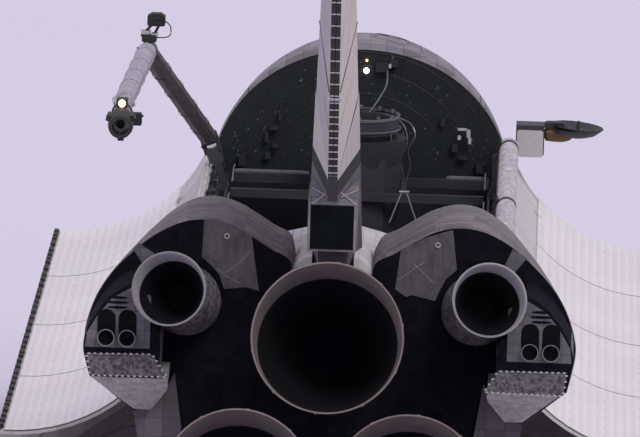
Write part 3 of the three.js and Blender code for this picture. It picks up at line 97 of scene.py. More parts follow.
# The photograph's camera, as solved on the bay's corners, the bells and the fin
FOCAL_PX = 10539.0
PHOTO_SIZE = (640, 437)
SENSOR_MM = 36.0
CAMERA_FIT = Vector((3.14, -171.5812, 32.83))
CAMERA_AZ = math.radians(-1.18)
CAMERA_EL = math.radians(10.18)
CAMERA_ROLL = math.radians(1.82)


def camera_axes():
    """Right, up and forward of the camera, in the row frame."""
    forward = Vector((math.sin(CAMERA_AZ) * math.cos(CAMERA_EL),
                      math.cos(CAMERA_AZ) * math.cos(CAMERA_EL), -math.sin(CAMERA_EL)))
    right = Vector((math.cos(CAMERA_AZ), -math.sin(CAMERA_AZ), 0))
    above = right.cross(forward)
    return TURN @ around(right, above, CAMERA_ROLL), TURN @ around(above, -right, CAMERA_ROLL), TURN @ forward


RIGHT, ABOVE, FORWARD = camera_axes()
CAMERA_AT = TURN @ CAMERA_FIT + SHIFT


def traced(pixels, x):
    """Y, Z pairs in inches at a station for points read off the photograph."""
    out = []
    for px, py in pixels:
        across = (px - PHOTO_SIZE[0] / 2) / FOCAL_PX
        down = (py - PHOTO_SIZE[1] / 2) / FOCAL_PX
        ray = (FORWARD + RIGHT * across - ABOVE * down).normalized()
        reach = (at(x, 0, MIDDLE_Z) - CAMERA_AT).dot(AFT) / ray.dot(AFT)
        spot = LEVEL @ (CAMERA_AT + ray * reach - SHIFT)
        out.append((spot.x / INCH, spot.z / INCH + MIDDLE_Z))
    return out


def make_camera():
    """The camera at the photograph's place, with its long lens."""
    data = bpy.data.cameras.new("camera")
    data.sensor_width = SENSOR_MM
    data.lens = FOCAL_PX * SENSOR_MM / PHOTO_SIZE[0]
    data.clip_start = 1.0
    data.clip_end = 5000.0
    cam = bpy.data.objects.new("camera", data)
    bpy.context.scene.collection.objects.link(cam)
    cam.matrix_world = Matrix.Translation(CAMERA_AT) @ Matrix((RIGHT, ABOVE, -FORWARD)).transposed().to_4x4()
    bpy.context.scene.camera = cam


# Materials

# Metres added to a shader coordinate so that it stays above zero over the whole orbiter
CLEAR = 50
RADIATOR_PANEL = 181.25
TILE = 0.152
BLACK_TILE = ((0.006, 0.0065, 0.009), (0.022, 0.023, 0.028))
ROOF_GREY = ((0.13, 0.12, 0.14), (0.26, 0.245, 0.27))
STREAKS = (5.5, 6, 0.7, (1.0, 1.0, 0.07))


def shaded(colour, share):
    return tuple(v * share for v in colour)


class Tree:
    """A small helper that wires shader nodes."""

    def __init__(self, name):
        self.mat = bpy.data.materials.new(name)
        self.mat.use_nodes = True
        self.nodes = self.mat.node_tree.nodes
        self.links = self.mat.node_tree.links
        self.nodes.clear()
        self.shader = self.new("BsdfPrincipled")
        self.new("OutputMaterial", {0: self.shader.outputs[0]})
        self.place = self.level("Object")

    def put(self, socket, value):
        if hasattr(value, "is_linked"):
            self.links.new(value, socket)
        elif isinstance(value, (tuple, list)) and len(value) == 3 and socket.type == "RGBA":
            socket.default_value = (*value, 1)
        else:
            socket.default_value = value

    def new(self, kind, inputs=None, **settings):
        node = self.nodes.new("ShaderNode" + kind)
        for key, value in settings.items():
            setattr(node, key, value)
        for key, value in (inputs or {}).items():
            self.put(node.inputs[key], value)
        return node

    def level(self, source, kind="POINT"):
        """A texture coordinate turned into the orbiter's own axes."""
        vector = self.new("TexCoord").outputs[source]
        return self.new("Mapping", {"Vector": vector, "Rotation": (PITCH, 0, 0)}, vector_type=kind).outputs[0]

    def math(self, kind, a, b=0.0, c=0.0, clamp=False):
        return self.new("Math", {0: a, 1: b, 2: c}, operation=kind, use_clamp=clamp).outputs[0]

    def vector(self, kind, a, b):
        return self.new("VectorMath", {0: a, 1: b}, operation=kind).outputs

    def split(self, value):
        return self.new("SeparateXYZ", {0: value}).outputs

    def normal(self):
        return self.split(self.level("Normal", "VECTOR"))

    def noise(self, scale, detail, rough, stretch=(1, 1, 1)):
        vector = self.vector("MULTIPLY", self.place, stretch)[0]
        inputs = {"Vector": vector, "Scale": scale, "Detail": detail, "Roughness": rough}
        return self.new("TexNoise", inputs).outputs[0]

    def cells(self, size):
        """A random value for each block of the given size."""
        moved = self.vector("ADD", self.place, (CLEAR + 0.013, CLEAR + 0.017, CLEAR + 0.019))[0]
        snapped = self.vector("SNAP", moved, size)[0]
        return self.new("TexWhiteNoise", {"Vector": snapped}, noise_dimensions="3D").outputs["Value"]

    def lines(self, axis, size, width, shift=0.0):
        """1 on thin lines a size apart along an axis of the orbiter."""
        c = self.math("ADD", self.split(self.place)[axis], CLEAR + shift)
        f = self.math("FRACT", self.math("DIVIDE", c, size))
        d = self.math("ABSOLUTE", self.math("SUBTRACT", f, 0.5))
        return self.math("GREATER_THAN", d, 0.5 - width / size / 2)

    def grid(self, size, width):
        a, b, c = (self.lines(axis, size, width) for axis in range(3))
        return self.math("MAXIMUM", a, self.math("MAXIMUM", b, c))

    def raised(self, size, width):
        """A height that is 1 on the tiles and 0 in their joints."""
        return self.math("SUBTRACT", 1.0, self.grid(size, width))

    def mix(self, factor, a, b):
        return self.new("Mix", {0: factor, 6: a, 7: b}, data_type="RGBA").outputs[2]

    def over(self, base, mask, share, colour):
        """A share of a colour over the base where the mask is 1."""
        return self.mix(self.math("MULTIPLY", mask, share), base, colour)

    def total(self, *parts, clamp=False):
        """The sum of values, each times its share."""
        out = self.math("MULTIPLY", *parts[0])
        for value, share in parts[1:]:
            out = self.math("MULTIPLY_ADD", value, share, out, clamp)
        return out

    def ramp(self, value, low, high):
        return self.new("MapRange", {"Value": value, "From Min": low, "From Max": high}).outputs[0]

    def finish(self, colour, rough, metal=0.0, bump=None, depth=0.01, strength=0.5, **more):
        inputs = {"Base Color": colour, "Roughness": rough, "Metallic": metal}
        inputs.update({key.replace("_", " "): value for key, value in more.items()})
        if bump is not None:
            height = {"Distance": depth, "Strength": strength, "Height": bump}
            inputs["Normal"] = self.new("Bump", height).outputs[0]
        for key, value in inputs.items():
            self.put(self.shader.inputs[key], value)
        return self.mat


def level_y(x):
    """The shader's Y value, in metres, at a structural station."""
    return (LEVEL @ at(x, 0, MIDDLE_Z)).y


def level_z(z):
    """The shader's Z value, in metres, at a structural height."""
    return (LEVEL @ at(MIDDLE_X, 0, z)).z


def tile_colour(t, dark, light, size=TILE, spread=1.0, gap=0.008, joint=(0.01, 0.01, 0.012)):
    """Tiles: each a slightly different shade, with thin joints."""
    tone = t.total((t.cells((size, size, size)), 0.6 * spread), (t.noise(0.9, 6, 0.6), 0.5))
    return t.over(t.mix(tone, dark, light), t.grid(size, gap), 0.65, joint)


def white_shell(t):
    """White tile above, black below, with the join at the chine."""
    white = tile_colour(t, (0.33, 0.32, 0.32), (0.56, 0.55, 0.54), 0.2, 0.8, 0.006, (0.12, 0.12, 0.12))
    return t.mix(t.math("LESS_THAN", t.normal()[2], -0.28), white, tile_colour(t, *BLACK_TILE))


def charcoal(t, pale=(0.018, 0.0195, 0.023), share=0.5):
    """Charcoal blankets: blotches and small lighter scraps."""
    colour = t.mix(t.noise(2.4, 7, 0.7), (0.0045, 0.0055, 0.0075), pale)
    return t.over(colour, t.ramp(t.noise(7.5, 8, 0.8), 0.66, 0.74), share, (0.07, 0.075, 0.085))


def grey_roof(t):
    return tile_colour(t, *ROOF_GREY, 0.3, 0.6, 0.01, (0.05, 0.05, 0.06))


def fin_quilt(t):
    colour = t.mix(t.noise(1.6, 6, 0.65), (0.2, 0.19, 0.195), (0.46, 0.44, 0.44))
    return t.over(colour, t.grid(0.6, 0.012), 0.45, (0.1, 0.1, 0.1))


def bay_inside(t):
    """1 inside the bay's width and above its floor."""
    place = t.split(t.place)
    near = t.math("LESS_THAN", t.math("ABSOLUTE", place[0]), 2.62)
    return t.math("MULTIPLY", near, t.math("GREATER_THAN", place[2], level_z(286)))


def facing_aft(t):
    return t.math("LESS_THAN", t.normal()[1], -0.5)


def facing_up(t):
    return t.math("GREATER_THAN", t.normal()[2], 0.35)


def two_looks(name, first, second, mask):
    """One node in two looks. Each look and the mask are functions of the tree."""
    t = Tree(name)
    bump = t.noise(9.0, 5, 0.6)
    return t.finish(t.mix(mask(t), first(t), second(t)), rough=0.75, bump=bump, depth=0.006, strength=0.3)


def white_tile():
    t = Tree("white_tile")
    return t.finish(white_shell(t), rough=0.7, bump=t.raised(0.2, 0.006), depth=0.002)


def black_tile():
    t = Tree("black_tile")
    return t.finish(tile_colour(t, *BLACK_TILE), rough=0.55, bump=t.raised(TILE, 0.008), depth=0.004)


def base_black():
    t = Tree("base_black")
    colour = tile_colour(t, (0.003, 0.0035, 0.0055), (0.008, 0.0085, 0.0125))
    return t.finish(colour, rough=0.95, Specular_IOR_Level=0.06)


def worn_tile(name, dark, light, size=TILE):
    t = Tree(name)
    return t.finish(tile_colour(t, dark, light, size), rough=0.75, bump=t.raised(size, 0.007), depth=0.003)


def pod_blanket():
    """Grey tiles and blankets of the pods' tops: rows that read as streaks across the curve."""
    t = Tree("pod_blanket")
    fine = t.noise(5.0, 6, 0.7, (1.6, 5.0, 1.6))
    large = t.math("SUBTRACT", t.noise(0.55, 3, 0.5), 0.5)
    tone = t.total((t.cells((0.45, 0.1, 0.45)), 0.6), (fine, 0.6), (large, 0.5))
    colour = t.mix(t.ramp(tone, 0.1, 1.05), (0.06, 0.054, 0.06), (0.225, 0.2, 0.205))
    seams = t.math("MAXIMUM", t.lines(1, 0.33, 0.012), t.lines(0, 0.61, 0.01, 0.2))
    colour = t.over(colour, seams, 0.45, (0.05, 0.045, 0.05))
    return t.finish(colour, rough=0.85, bump=fine, depth=0.01, strength=0.4)


def quilted(name, light, dark, cell):
    """Sewn blanket: a soft quilt with seams and blotches."""
    t = Tree(name)
    size = cell * 2
    tone = t.total((t.cells((size, size, size)), 0.35), (t.noise(1.6, 6, 0.65), 0.35),
                   (t.noise(2.2, 5, 0.6, (1.0, 1.0, 0.25)), 0.35))
    seam = t.grid(size, 0.012)
    colour = t.over(t.mix(tone, dark, light), seam, 0.45, shaded(dark, 0.55))
    height = t.math("SUBTRACT", t.math("MULTIPLY", t.noise(14.0, 3, 0.5), 0.5), seam)
    return t.finish(colour, rough=0.9, bump=height, depth=0.012, strength=0.6)


def radiator():
    """Silvery film panels: fine lines along the panel, rows of small fittings and a pink cast."""
    t = Tree("radiator")
    wave = t.math("SINE", t.math("MULTIPLY", t.split(t.place)[0], 2 * math.pi / 0.145))
    fine = t.math("MULTIPLY", t.math("ADD", wave, 1.0), 0.5)
    tone = t.total((fine, 0.28), (t.noise(0.45, 5, 0.6), 0.75), clamp=True)
    colour = t.mix(tone, (0.56, 0.515, 0.52), (0.8, 0.765, 0.765))
    panel = RADIATOR_PANEL * INCH
    front = CLEAR + level_y(BAY_FRONT_X)
    shift = panel * math.ceil(front / panel) - front
    colour = t.over(colour, t.lines(1, panel, 0.045, shift), 0.9, (0.03, 0.028, 0.03))
    dots = t.math("MULTIPLY", t.lines(1, panel / 6, 0.035, shift + 0.21), t.lines(0, 0.58, 0.035, 0.1))
    colour = t.over(colour, dots, 0.75, (0.05, 0.05, 0.055))
    return t.finish(colour, rough=0.42, bump=fine, depth=0.003, strength=0.35, Coat_Weight=0.15)


def painted(name, colour, rough, metal, grain, depth, wear):
    """Worn paint or metal."""
    t = Tree(name)
    spots = t.noise(grain, 6, 0.65)
    worn = t.over(colour, spots, wear, shaded(colour, 0.35))
    return t.finish(worn, rough=rough, metal=metal, bump=spots, depth=depth, strength=0.4)


def nozzle_metal(name, light, dark, rings):
    """Bell metal: stains, and heat bands round the bell."""
    t = Tree(name)
    stain = t.noise(1.5, 6, 0.65)
    tone = t.total((stain, 0.5), (t.noise(rings, 2, 0.5, (0.1, 1.0, 0.1)), 0.6), clamp=True)
    return t.finish(t.mix(tone, dark, light), rough=0.45, metal=0.55, bump=stain, depth=0.004, strength=0.3)


def bell_inside_painted_light(name, light, dark, mouth, along, ahead, rise, across):
    """Painted shadow deep inside and a painted lit band by the upper lip.

    The two meet at a painted shadow line where a slanted plane crosses the bell. It lies ahead of the mouth
    on the bell's axis, by a distance in metres, and its slopes are the rise and the lean across the bell.
    """
    t = Tree(name)
    fine = t.noise(26.0, 2, 0.5)
    tone = t.total((t.noise(2.5, 6, 0.7), 0.7), (fine, 0.3), clamp=True)
    flat = LEVEL @ along
    plane = flat + Vector((across, flat.z, -flat.y)).normalized() * rise
    from_mouth = t.vector("SUBTRACT", t.place, tuple(LEVEL @ mouth))[0]
    height = t.vector("DOT_PRODUCT", from_mouth, tuple(plane))["Value"]
    # Painted shadow: near black deep in the bell past the slanted plane, and the painted lit band towards the
    # lip
    deep = t.mix(tone, (0.003, 0.003, 0.004), (0.008, 0.008, 0.01))
    colour = t.mix(t.ramp(height, -ahead - 0.02, -ahead + 0.02), deep, t.mix(tone, dark, light))
    return t.finish(colour, rough=0.8, bump=fine, depth=0.003, Specular_IOR_Level=0.15)


def speckled(name, light, dark, scale):
    t = Tree(name)
    spots = t.noise(scale, 8, 0.75)
    colour = t.mix(t.ramp(spots, 0.42, 0.58), dark, light)
    colour = t.over(colour, t.grid(0.155, 0.007), 0.5, shaded(dark, 0.5))
    return t.finish(colour, rough=0.9, bump=spots, depth=0.006)


def mottled(name, dark, light, scale=3.2):
    """A patched blanket: blotches with fine scratches across them."""
    t = Tree(name)
    blot = t.noise(scale, 7, 0.72)
    tone = t.total((blot, 0.75), (t.noise(scale * 2.2, 4, 0.6, (3.0, 1.0, 0.35)), 0.45))
    return t.finish(t.mix(t.ramp(tone, 0.35, 0.85), dark, light), rough=0.9, bump=blot, depth=0.008)


def bay_dark():
    """The blankets of the bay's front wall."""
    t = Tree("bay_dark")
    return t.finish(charcoal(t, (0.016, 0.0175, 0.021), 0.55), rough=0.8, bump=t.noise(7.5, 8, 0.8),
                    depth=0.02, strength=0.5, Specular_IOR_Level=0.3)


def crinkled(name, light, dark, scale, depth):
    """Loose wrapping that creases."""
    t = Tree(name)
    crease = t.new("TexVoronoi", {"Vector": t.place, "Scale": scale}, feature="F1").outputs["Distance"]
    tone = t.total((crease, 0.6), (t.noise(4.0, 6, 0.7), 0.55), clamp=True)
    return t.finish(t.mix(tone, dark, light), rough=0.7, bump=crease, depth=depth, strength=0.8)


def soot():
    t = Tree("soot_black")
    colour = t.mix(t.noise(4.0, 5, 0.6), (0.003, 0.0035, 0.0045), (0.008, 0.0085, 0.0105))
    return t.finish(colour, rough=0.95, Specular_IOR_Level=0.05)


def glass():
    t = Tree("window_glass")
    return t.finish(t.mix(t.noise(3.0, 4, 0.6), (0.006, 0.008, 0.01), (0.02, 0.024, 0.03)), rough=0.08)


def lamp(name, colour, strength):
    t = Tree(name)
    glow = t.mix(t.noise(40.0, 1, 0.5), colour, colour)
    return t.finish(glow, rough=0.3, Emission_Color=colour, Emission_Strength=strength)


def rudder_white():
    """Warm white felt panels with long dirty streaks that run down the rudder, the starboard half painted
    lighter and warmer: painted light.
    """
    t = Tree("rudder_white")
    streak = t.noise(*STREAKS)
    tone = t.total((streak, 0.7), (t.noise(0.8, 4, 0.6, (1.0, 1.0, 0.4)), 0.4), clamp=True)
    # Painted light: the starboard half is lighter and warmer, the port half darker
    starboard = t.ramp(t.split(t.place)[0], -0.12, 0.12)
    pale = t.mix(starboard, (0.50, 0.475, 0.50), (0.66, 0.60, 0.55))
    deep = t.mix(starboard, (0.17, 0.155, 0.165), (0.30, 0.26, 0.24))
    return t.finish(t.mix(tone, deep, pale), rough=0.85, bump=streak, depth=0.006, strength=0.5)


# The slope of the rudder's hinge line, aft for each inch up
HINGE_SLOPE = 0.6958


def fin_look():
    """Quilted fin. Behind the hinge line it is pale over a sloping foot line, black under it, then grey."""
    t = Tree("fin_look")
    place = t.split(t.place)
    streak = t.noise(*STREAKS)
    pale = t.mix(streak, (0.25, 0.225, 0.23), (0.6, 0.56, 0.56))
    grey = tile_colour(t, (0.06, 0.056, 0.066), (0.13, 0.12, 0.135), 0.25)
    slope = 6 / 90
    foot = t.math("MULTIPLY_ADD", place[1], slope, level_z(577) - slope * level_y(1586))
    band = t.math("GREATER_THAN", t.math("ADD", place[2], 0.28), foot)
    below = t.mix(band, grey, (0.008, 0.008, 0.01))
    behind = t.mix(t.math("GREATER_THAN", place[2], foot), below, pale)
    ahead = t.math("SUBTRACT", t.math("MULTIPLY_ADD", place[2], HINGE_SLOPE, -HINGE_SLOPE * level_z(500.5)),
                   t.math("SUBTRACT", level_y(1439), place[1]))
    front = t.math("GREATER_THAN", ahead, 0.0)
    strip = t.math("MULTIPLY", front, t.math("LESS_THAN", ahead, 0.45))
    colour = t.mix(front, behind, fin_quilt(t))
    colour = t.mix(t.math("MAXIMUM", strip, facing_aft(t)), colour, (0.03, 0.028, 0.034))
    return t.finish(colour, rough=0.85, bump=streak, depth=0.005, strength=0.4)


# Columns: name, colour, roughness, metal, grain, depth of the grain in metres, wear
PAINTS = {
    "dock": ("docking_charcoal", (0.045, 0.047, 0.055), 0.5, 0.3, 6.0, 0.004, 0.7),
    # docking_edge: lighter grey for the hoses, the ring trim and the wall's snaps. On the ring trim and the
    # snaps it also serves as painted highlights
    "dock_edge": ("docking_edge", (0.2, 0.205, 0.22), 0.35, 0.6, 12.0, 0.002, 0.5),
    "carbon": ("carbon", (0.12, 0.118, 0.115), 0.5, 0.0, 3.0, 0.002, 0.5),
    "rim": ("bell_rim", (0.34, 0.28, 0.24), 0.4, 0.5, 8.0, 0.002, 0.6),
    "metal": ("structure", (0.34, 0.34, 0.36), 0.45, 0.6, 9.0, 0.002, 0.4),
    "dark_metal": ("dark_metal", (0.05, 0.05, 0.055), 0.5, 0.4, 9.0, 0.002, 0.4),
    "latch": ("latch_black", (0.012, 0.012, 0.014), 0.6, 0.0, 11.0, 0.002, 0.3),
    "trim": ("pale_trim", (0.45, 0.43, 0.43), 0.6, 0.0, 14.0, 0.002, 0.5),
    "gold": ("gimbal_gold", (0.14, 0.085, 0.035), 0.4, 0.5, 9.0, 0.003, 0.6),
    "dish": ("dish_dark", (0.03, 0.031, 0.035), 0.5, 0.2, 5.0, 0.002, 0.4),
    "gear": ("gear_white", (0.62, 0.63, 0.63), 0.35, 0.0, 6.0, 0.001, 0.25),
    "tyre": ("tyre_rubber", (0.018, 0.018, 0.019), 0.8, 0.0, 20.0, 0.003, 0.3),
    "wheel": ("wheel_alloy", (0.4, 0.41, 0.42), 0.35, 0.8, 12.0, 0.001, 0.3),
    "cabin": ("cabin_grey", (0.15, 0.16, 0.17), 0.6, 0.0, 5.0, 0.002, 0.4),
    "ladder": ("ladder_strip", (0.018, 0.017, 0.021), 0.6, 0.0, 8.0, 0.003, 0.5),
}

MATERIALS = {
    "mid": two_looks("mid_fuselage_look", white_shell, charcoal, bay_inside),
    "aft": two_looks("aft_fuselage_look", white_shell, charcoal, facing_aft),
    "fin": fin_look(),
    "crown": two_looks("crown_look", white_shell, grey_roof, facing_up),
    "crown_top": worn_tile("crown_top", *ROOF_GREY, 0.3),
    "fairing": worn_tile("side_fairing", (0.045, 0.042, 0.05), (0.11, 0.104, 0.118), 0.3),
    "black": black_tile(),
    "base": base_black(),
    "white": white_tile(),
    "pod": pod_blanket(),
    "door": quilted("door_outer", (0.6, 0.59, 0.585), (0.36, 0.35, 0.35), 0.35),
    "radiator": radiator(),
    "bay": bay_dark(),
    "grey_tile": worn_tile("grey_tile", (0.05, 0.048, 0.056), (0.115, 0.11, 0.125)),
    "patch": mottled("patch_blanket", (0.035, 0.033, 0.038), (0.12, 0.113, 0.122)),
    "box_grey": worn_tile("box_grey", (0.10, 0.095, 0.11), (0.2, 0.19, 0.21), 0.3),
    "speckle": speckled("speckle", (0.13, 0.125, 0.135), (0.03, 0.028, 0.034), 16.0),
    "wedge": mottled("heel_blanket", (0.16, 0.15, 0.155), (0.62, 0.58, 0.58), 5.5),
    "collar": speckled("collar", (0.17, 0.165, 0.175), (0.035, 0.033, 0.04), 10.0),
    "bell": nozzle_metal("bell_metal", (0.24, 0.2, 0.185), (0.07, 0.055, 0.05), 4.0),
    "oms": nozzle_metal("oms_metal", (0.28, 0.27, 0.28), (0.1, 0.095, 0.105), 6.0),
    "arm_light": crinkled("arm_light", (0.4, 0.385, 0.44), (0.22, 0.21, 0.245), 5.0, 0.003),
    "arm_dark": crinkled("arm_dark", (0.105, 0.098, 0.105), (0.03, 0.028, 0.032), 11.0, 0.01),
    "boom": crinkled("boom_wrap", (0.6, 0.57, 0.6), (0.14, 0.13, 0.15), 9.0, 0.04),
    "cloth": quilted("seat_cloth", (0.06, 0.08, 0.11), (0.02, 0.025, 0.035), 0.06),
    "rudder": rudder_white(),
    "black_flat": soot(),
    "glass": glass(),
    "lamp_white": lamp("lamp_white", (0.95, 1.0, 0.93), 9.0),
    "lamp_warm": lamp("lamp_warm", (1.0, 0.62, 0.25), 5.0),
    **{key: painted(*row) for key, row in PAINTS.items()},
}

# Columns: a word in the node's name, its material. The first word that fits is taken.
NODE_LOOKS = [
    ("body_flap", "white"), ("nose_cap", "carbon"), ("leading_edge", "carbon"), ("windshield", "glass"),
    ("upper_forward_fuselage", "crown"), ("forward_fuselage", "white"), ("side_hatch", "white"),
    ("flight_deck", "cabin"), ("crew_seats", "cloth"), ("bulkhead", "bay"), ("docking", "dock"),
    ("mid_fuselage", "mid"), ("aft_fuselage", "aft"), ("engine_block", "dark_metal"),
    ("heat_shield", "base"), ("main_engine_nozzle", "bell"), ("oms_pod", "pod"), ("oms_nozzle", "oms"),
    ("elevon", "white"), ("wing", "white"), ("payload_door", "door"), ("radiators", "radiator"),
    ("gear_strut", "gear"), ("wheels", "tyre"), ("gear_door", "black"), ("vertical_fin", "fin"),
    ("chute", "box_grey"), ("rudder_shaft", "black_flat"), ("rudder_panels", "rudder"),
    ("arm_cradle", "dark_metal"), ("arm_upper", "arm_dark"), ("arm_lower", "arm_light"),
    ("arm_wrist", "arm_light"), ("end_effector", "dark_metal"), ("boom_cradle", "dark_metal"),
    ("inspection_boom", "boom"), ("antenna", "dish"), ("gear_fork", "gear"),
]


def smooth_group():
    """A modifier that shades shallow edges smooth and leaves the others sharp."""
    group = bpy.data.node_groups.new("shade_by_angle", "GeometryNodeTree")
    for end in ("INPUT", "OUTPUT"):
        group.interface.new_socket("Geometry", in_out=end, socket_type="NodeSocketGeometry")
    n = group.nodes
    first = n.new("NodeGroupInput")
    last = n.new("NodeGroupOutput")
    faces = n.new("GeometryNodeSetShadeSmooth")
    faces.domain = "FACE"
    faces.inputs["Shade Smooth"].default_value = True
    edges = n.new("GeometryNodeSetShadeSmooth")
    edges.domain = "EDGE"
    angle = n.new("GeometryNodeInputMeshEdgeAngle")
    flat = n.new("FunctionNodeCompare")
    flat.operation = "LESS_THAN"
    flat.inputs["B"].default_value = math.radians(32)
    for source, target in [(angle.outputs["Unsigned Angle"], flat.inputs["A"]),
                           (flat.outputs[0], edges.inputs["Shade Smooth"]),
                           (first.outputs[0], faces.inputs["Geometry"]),
                           (faces.outputs[0], edges.inputs["Geometry"]),
                           (edges.outputs[0], last.inputs[0])]:
        group.links.new(source, target)
    return group


SMOOTH = smooth_group()


def shade(obj):
    """Smooth shading below the angle limit."""
    obj.modifiers.new("shade", "NODES").node_group = SMOOTH


def dress_nodes():
    """Gives every exact node its material."""
    for name, obj in NODES.items():
        look = next(m for word, m in NODE_LOOKS if word in name)
        obj.data.materials.clear()
        obj.data.materials.append(MATERIALS[look])
        shade(obj)


# Mesh helpers

def piece(name, body, verts, faces, look, smooth=True):
    """A new mesh piece, in the row frame, that rides on a body."""
    mesh = bpy.data.meshes.new(name)
    mesh.from_pydata([tuple(v) for v in verts], [], faces)
    clean(mesh)
    for entry in look if isinstance(look, (list, tuple)) else [look]:
        mesh.materials.append(MATERIALS[entry])
    mesh.update()
    obj = bpy.data.objects.new(name, mesh)
    bpy.context.scene.collection.objects.link(obj)
    if smooth:
        shade(obj)
    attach(obj, body)
    return obj


def clean(mesh, merge=0.0):
    """Points all faces outward, after joining points that lie closer than the merge distance."""
    work = bmesh.new()
    work.from_mesh(mesh)
    if merge:
        bmesh.ops.remove_doubles(work, verts=work.verts, dist=merge)
    bmesh.ops.recalc_face_normals(work, faces=work.faces)
    work.to_mesh(mesh)
    work.free()


class Builder:
    """Gathers many small solids into one mesh. Places are in metres and sizes in inches."""

    def __init__(self):
        self.verts = []
        self.faces = []

    def add(self, verts, faces):
        base = len(self.verts)
        self.verts.extend(verts)
        self.faces.extend([tuple(i + base for i in f) for f in faces])
        return self

    def loft(self, rings, caps=True):
        count = len(rings[0])
        faces = []
        for r in range(len(rings) - 1):
            for i in range(count):
                j = (i + 1) % count
                faces.append((r * count + i, r * count + j, (r + 1) * count + j, (r + 1) * count + i))
        if caps:
            faces.append(tuple(reversed(range(count))))
            faces.append(tuple(range((len(rings) - 1) * count, len(rings) * count)))
        return self.add([v for ring in rings for v in ring], faces)

    def lathe(self, start, along, profile, sides, caps=False):
        """Profile columns: distance along, radius."""
        side = along.orthogonal().normalized()
        other = along.cross(side)
        return self.loft([[start + along * (s * INCH) + around(side, other, turn) * (r * INCH)
                           for turn in turns(sides)] for s, r in profile], caps)

    def tube(self, a, b, r0, sides, r1=None):
        """A closed round bar, or a cone where the second radius is given."""
        ends = [(0, r0), ((b - a).length / INCH, r0 if r1 is None else r1)]
        return self.lathe(a, (b - a).normalized(), ends, sides, caps=True)

    def box(self, centre, u, v, w, bevel):
        """A box with chamfered long edges. u, v and w are half extents as vectors in inches."""
        cut = 1 - bevel
        ring = [(cut, -1), (1, -cut), (1, cut), (cut, 1), (-cut, 1), (-1, cut), (-1, -cut), (-cut, -1)]
        return self.loft([[centre + (w * k + u * a + v * b) * INCH for a, b in ring] for k in (-1, 1)])

    def block(self, centre, wide, high, deep, bevel):
        """A box along the orbiter's axes. The sizes are half extents."""
        return self.box(centre, STARBOARD * wide, UP * high, AFT * deep, bevel)

    def path(self, points, radius, sides):
        """A round cable along points."""
        rings = []
        for i, p in enumerate(points):
            along = (points[min(i + 1, len(points) - 1)] - points[max(i - 1, 0)]).normalized()
            side = along.cross(UP)
            if side.length < 0.1:
                side = along.cross(STARBOARD)
            side.normalize()
            other = along.cross(side)
            rings.append([p + around(side, other, turn) * (radius * INCH) for turn in turns(sides)])
        return self.loft(rings)

    def plate(self, corners, x, thick):
        """A flat plate facing aft at a station. Corners are Y, Z pairs."""
        return self.loft([[at(x + k, y, z) for y, z in corners] for k in (0, thick)])

    def make(self, name, look, body="airframe", smooth=True, slot=None):
        return piece(name, body, self.verts, self.faces, look, smooth)


def curve_points(points, steps):
    """A smooth curve through the points."""
    out = []
    for i in range(len(points) - 1):
        p0 = points[max(i - 1, 0)]
        p1 = points[i]
        p2 = points[i + 1]
        p3 = points[min(i + 2, len(points) - 1)]
        for k in range(steps):
            t = k / steps
            out.append(0.5 * ((2 * p1) + (p2 - p0) * t + (2 * p0 - 5 * p1 + 4 * p2 - p3) * t * t
                              + (3 * p1 - p0 - 3 * p2 + p3) * t ** 3))
    out.append(points[-1])
    return out


def smooth_outline(points, steps=5):
    return [(p.x, p.y) for p in curve_points([Vector((a, b, 0)) for a, b in points], steps)]


def row_at(rows, x):
    """The row of a station, between the two nearest."""
    pair = next((p for p in zip(rows, rows[1:]) if p[0][0] <= x <= p[1][0]), rows[-2:])
    share = (x - pair[0][0]) / (pair[1][0] - pair[0][0])
    return [u + (v - u) * share for u, v in zip(pair[0][1:], pair[1][1:])]


# Main engine bells

# Columns: name, exit X, Y, Z, pitch in degrees
MAIN_ENGINES = [("upper", 1597, 0, 481.6, 17.3), ("port", 1619, -52.3, 392.7, 18.5),
                ("starboard", 1619, 52.3, 392.7, 18.5)]
BELL_LENGTH = 120
BELL_EXIT = 47
# Columns: distance from the throat end, outer radius
BELL_PROFILE = [(0, 13), (8, 13), (16, 17), (30, 24), (47, 30.4), (66, 36), (93, 42.2),
                (BELL_LENGTH, BELL_EXIT)]
BELL_WALL = 1.2
HOOPS = (38, 56, 74, 92, 108)
RIM_BRACKETS = 10


def bell(name, start, along, profile, wall, look, inside, node, slot, sides=96):
    """A smooth bell with a rolled rim that stands for its CAD node."""
    length, mouth = profile[-1]
    outer = smooth_outline(profile)
    inner = [(s, r - wall) for s, r in reversed(outer) if s > 6]
    lip = [(length - 0.35, mouth), (length, mouth - 0.25), (length, mouth - wall + 0.1)]
    whole = [(0, 0.5), *outer[:-1], *lip, *inner[1:], (6, 0.5)]
    obj = Builder().lathe(start, along, whole, sides).make(name, look, slot=slot)
    obj.data.materials.append(inside)
    split = len(outer) + 2
    for polygon in obj.data.polygons:
        polygon.material_index = 0 if min(polygon.vertices) // sides < split else 1
    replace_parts(obj, node)


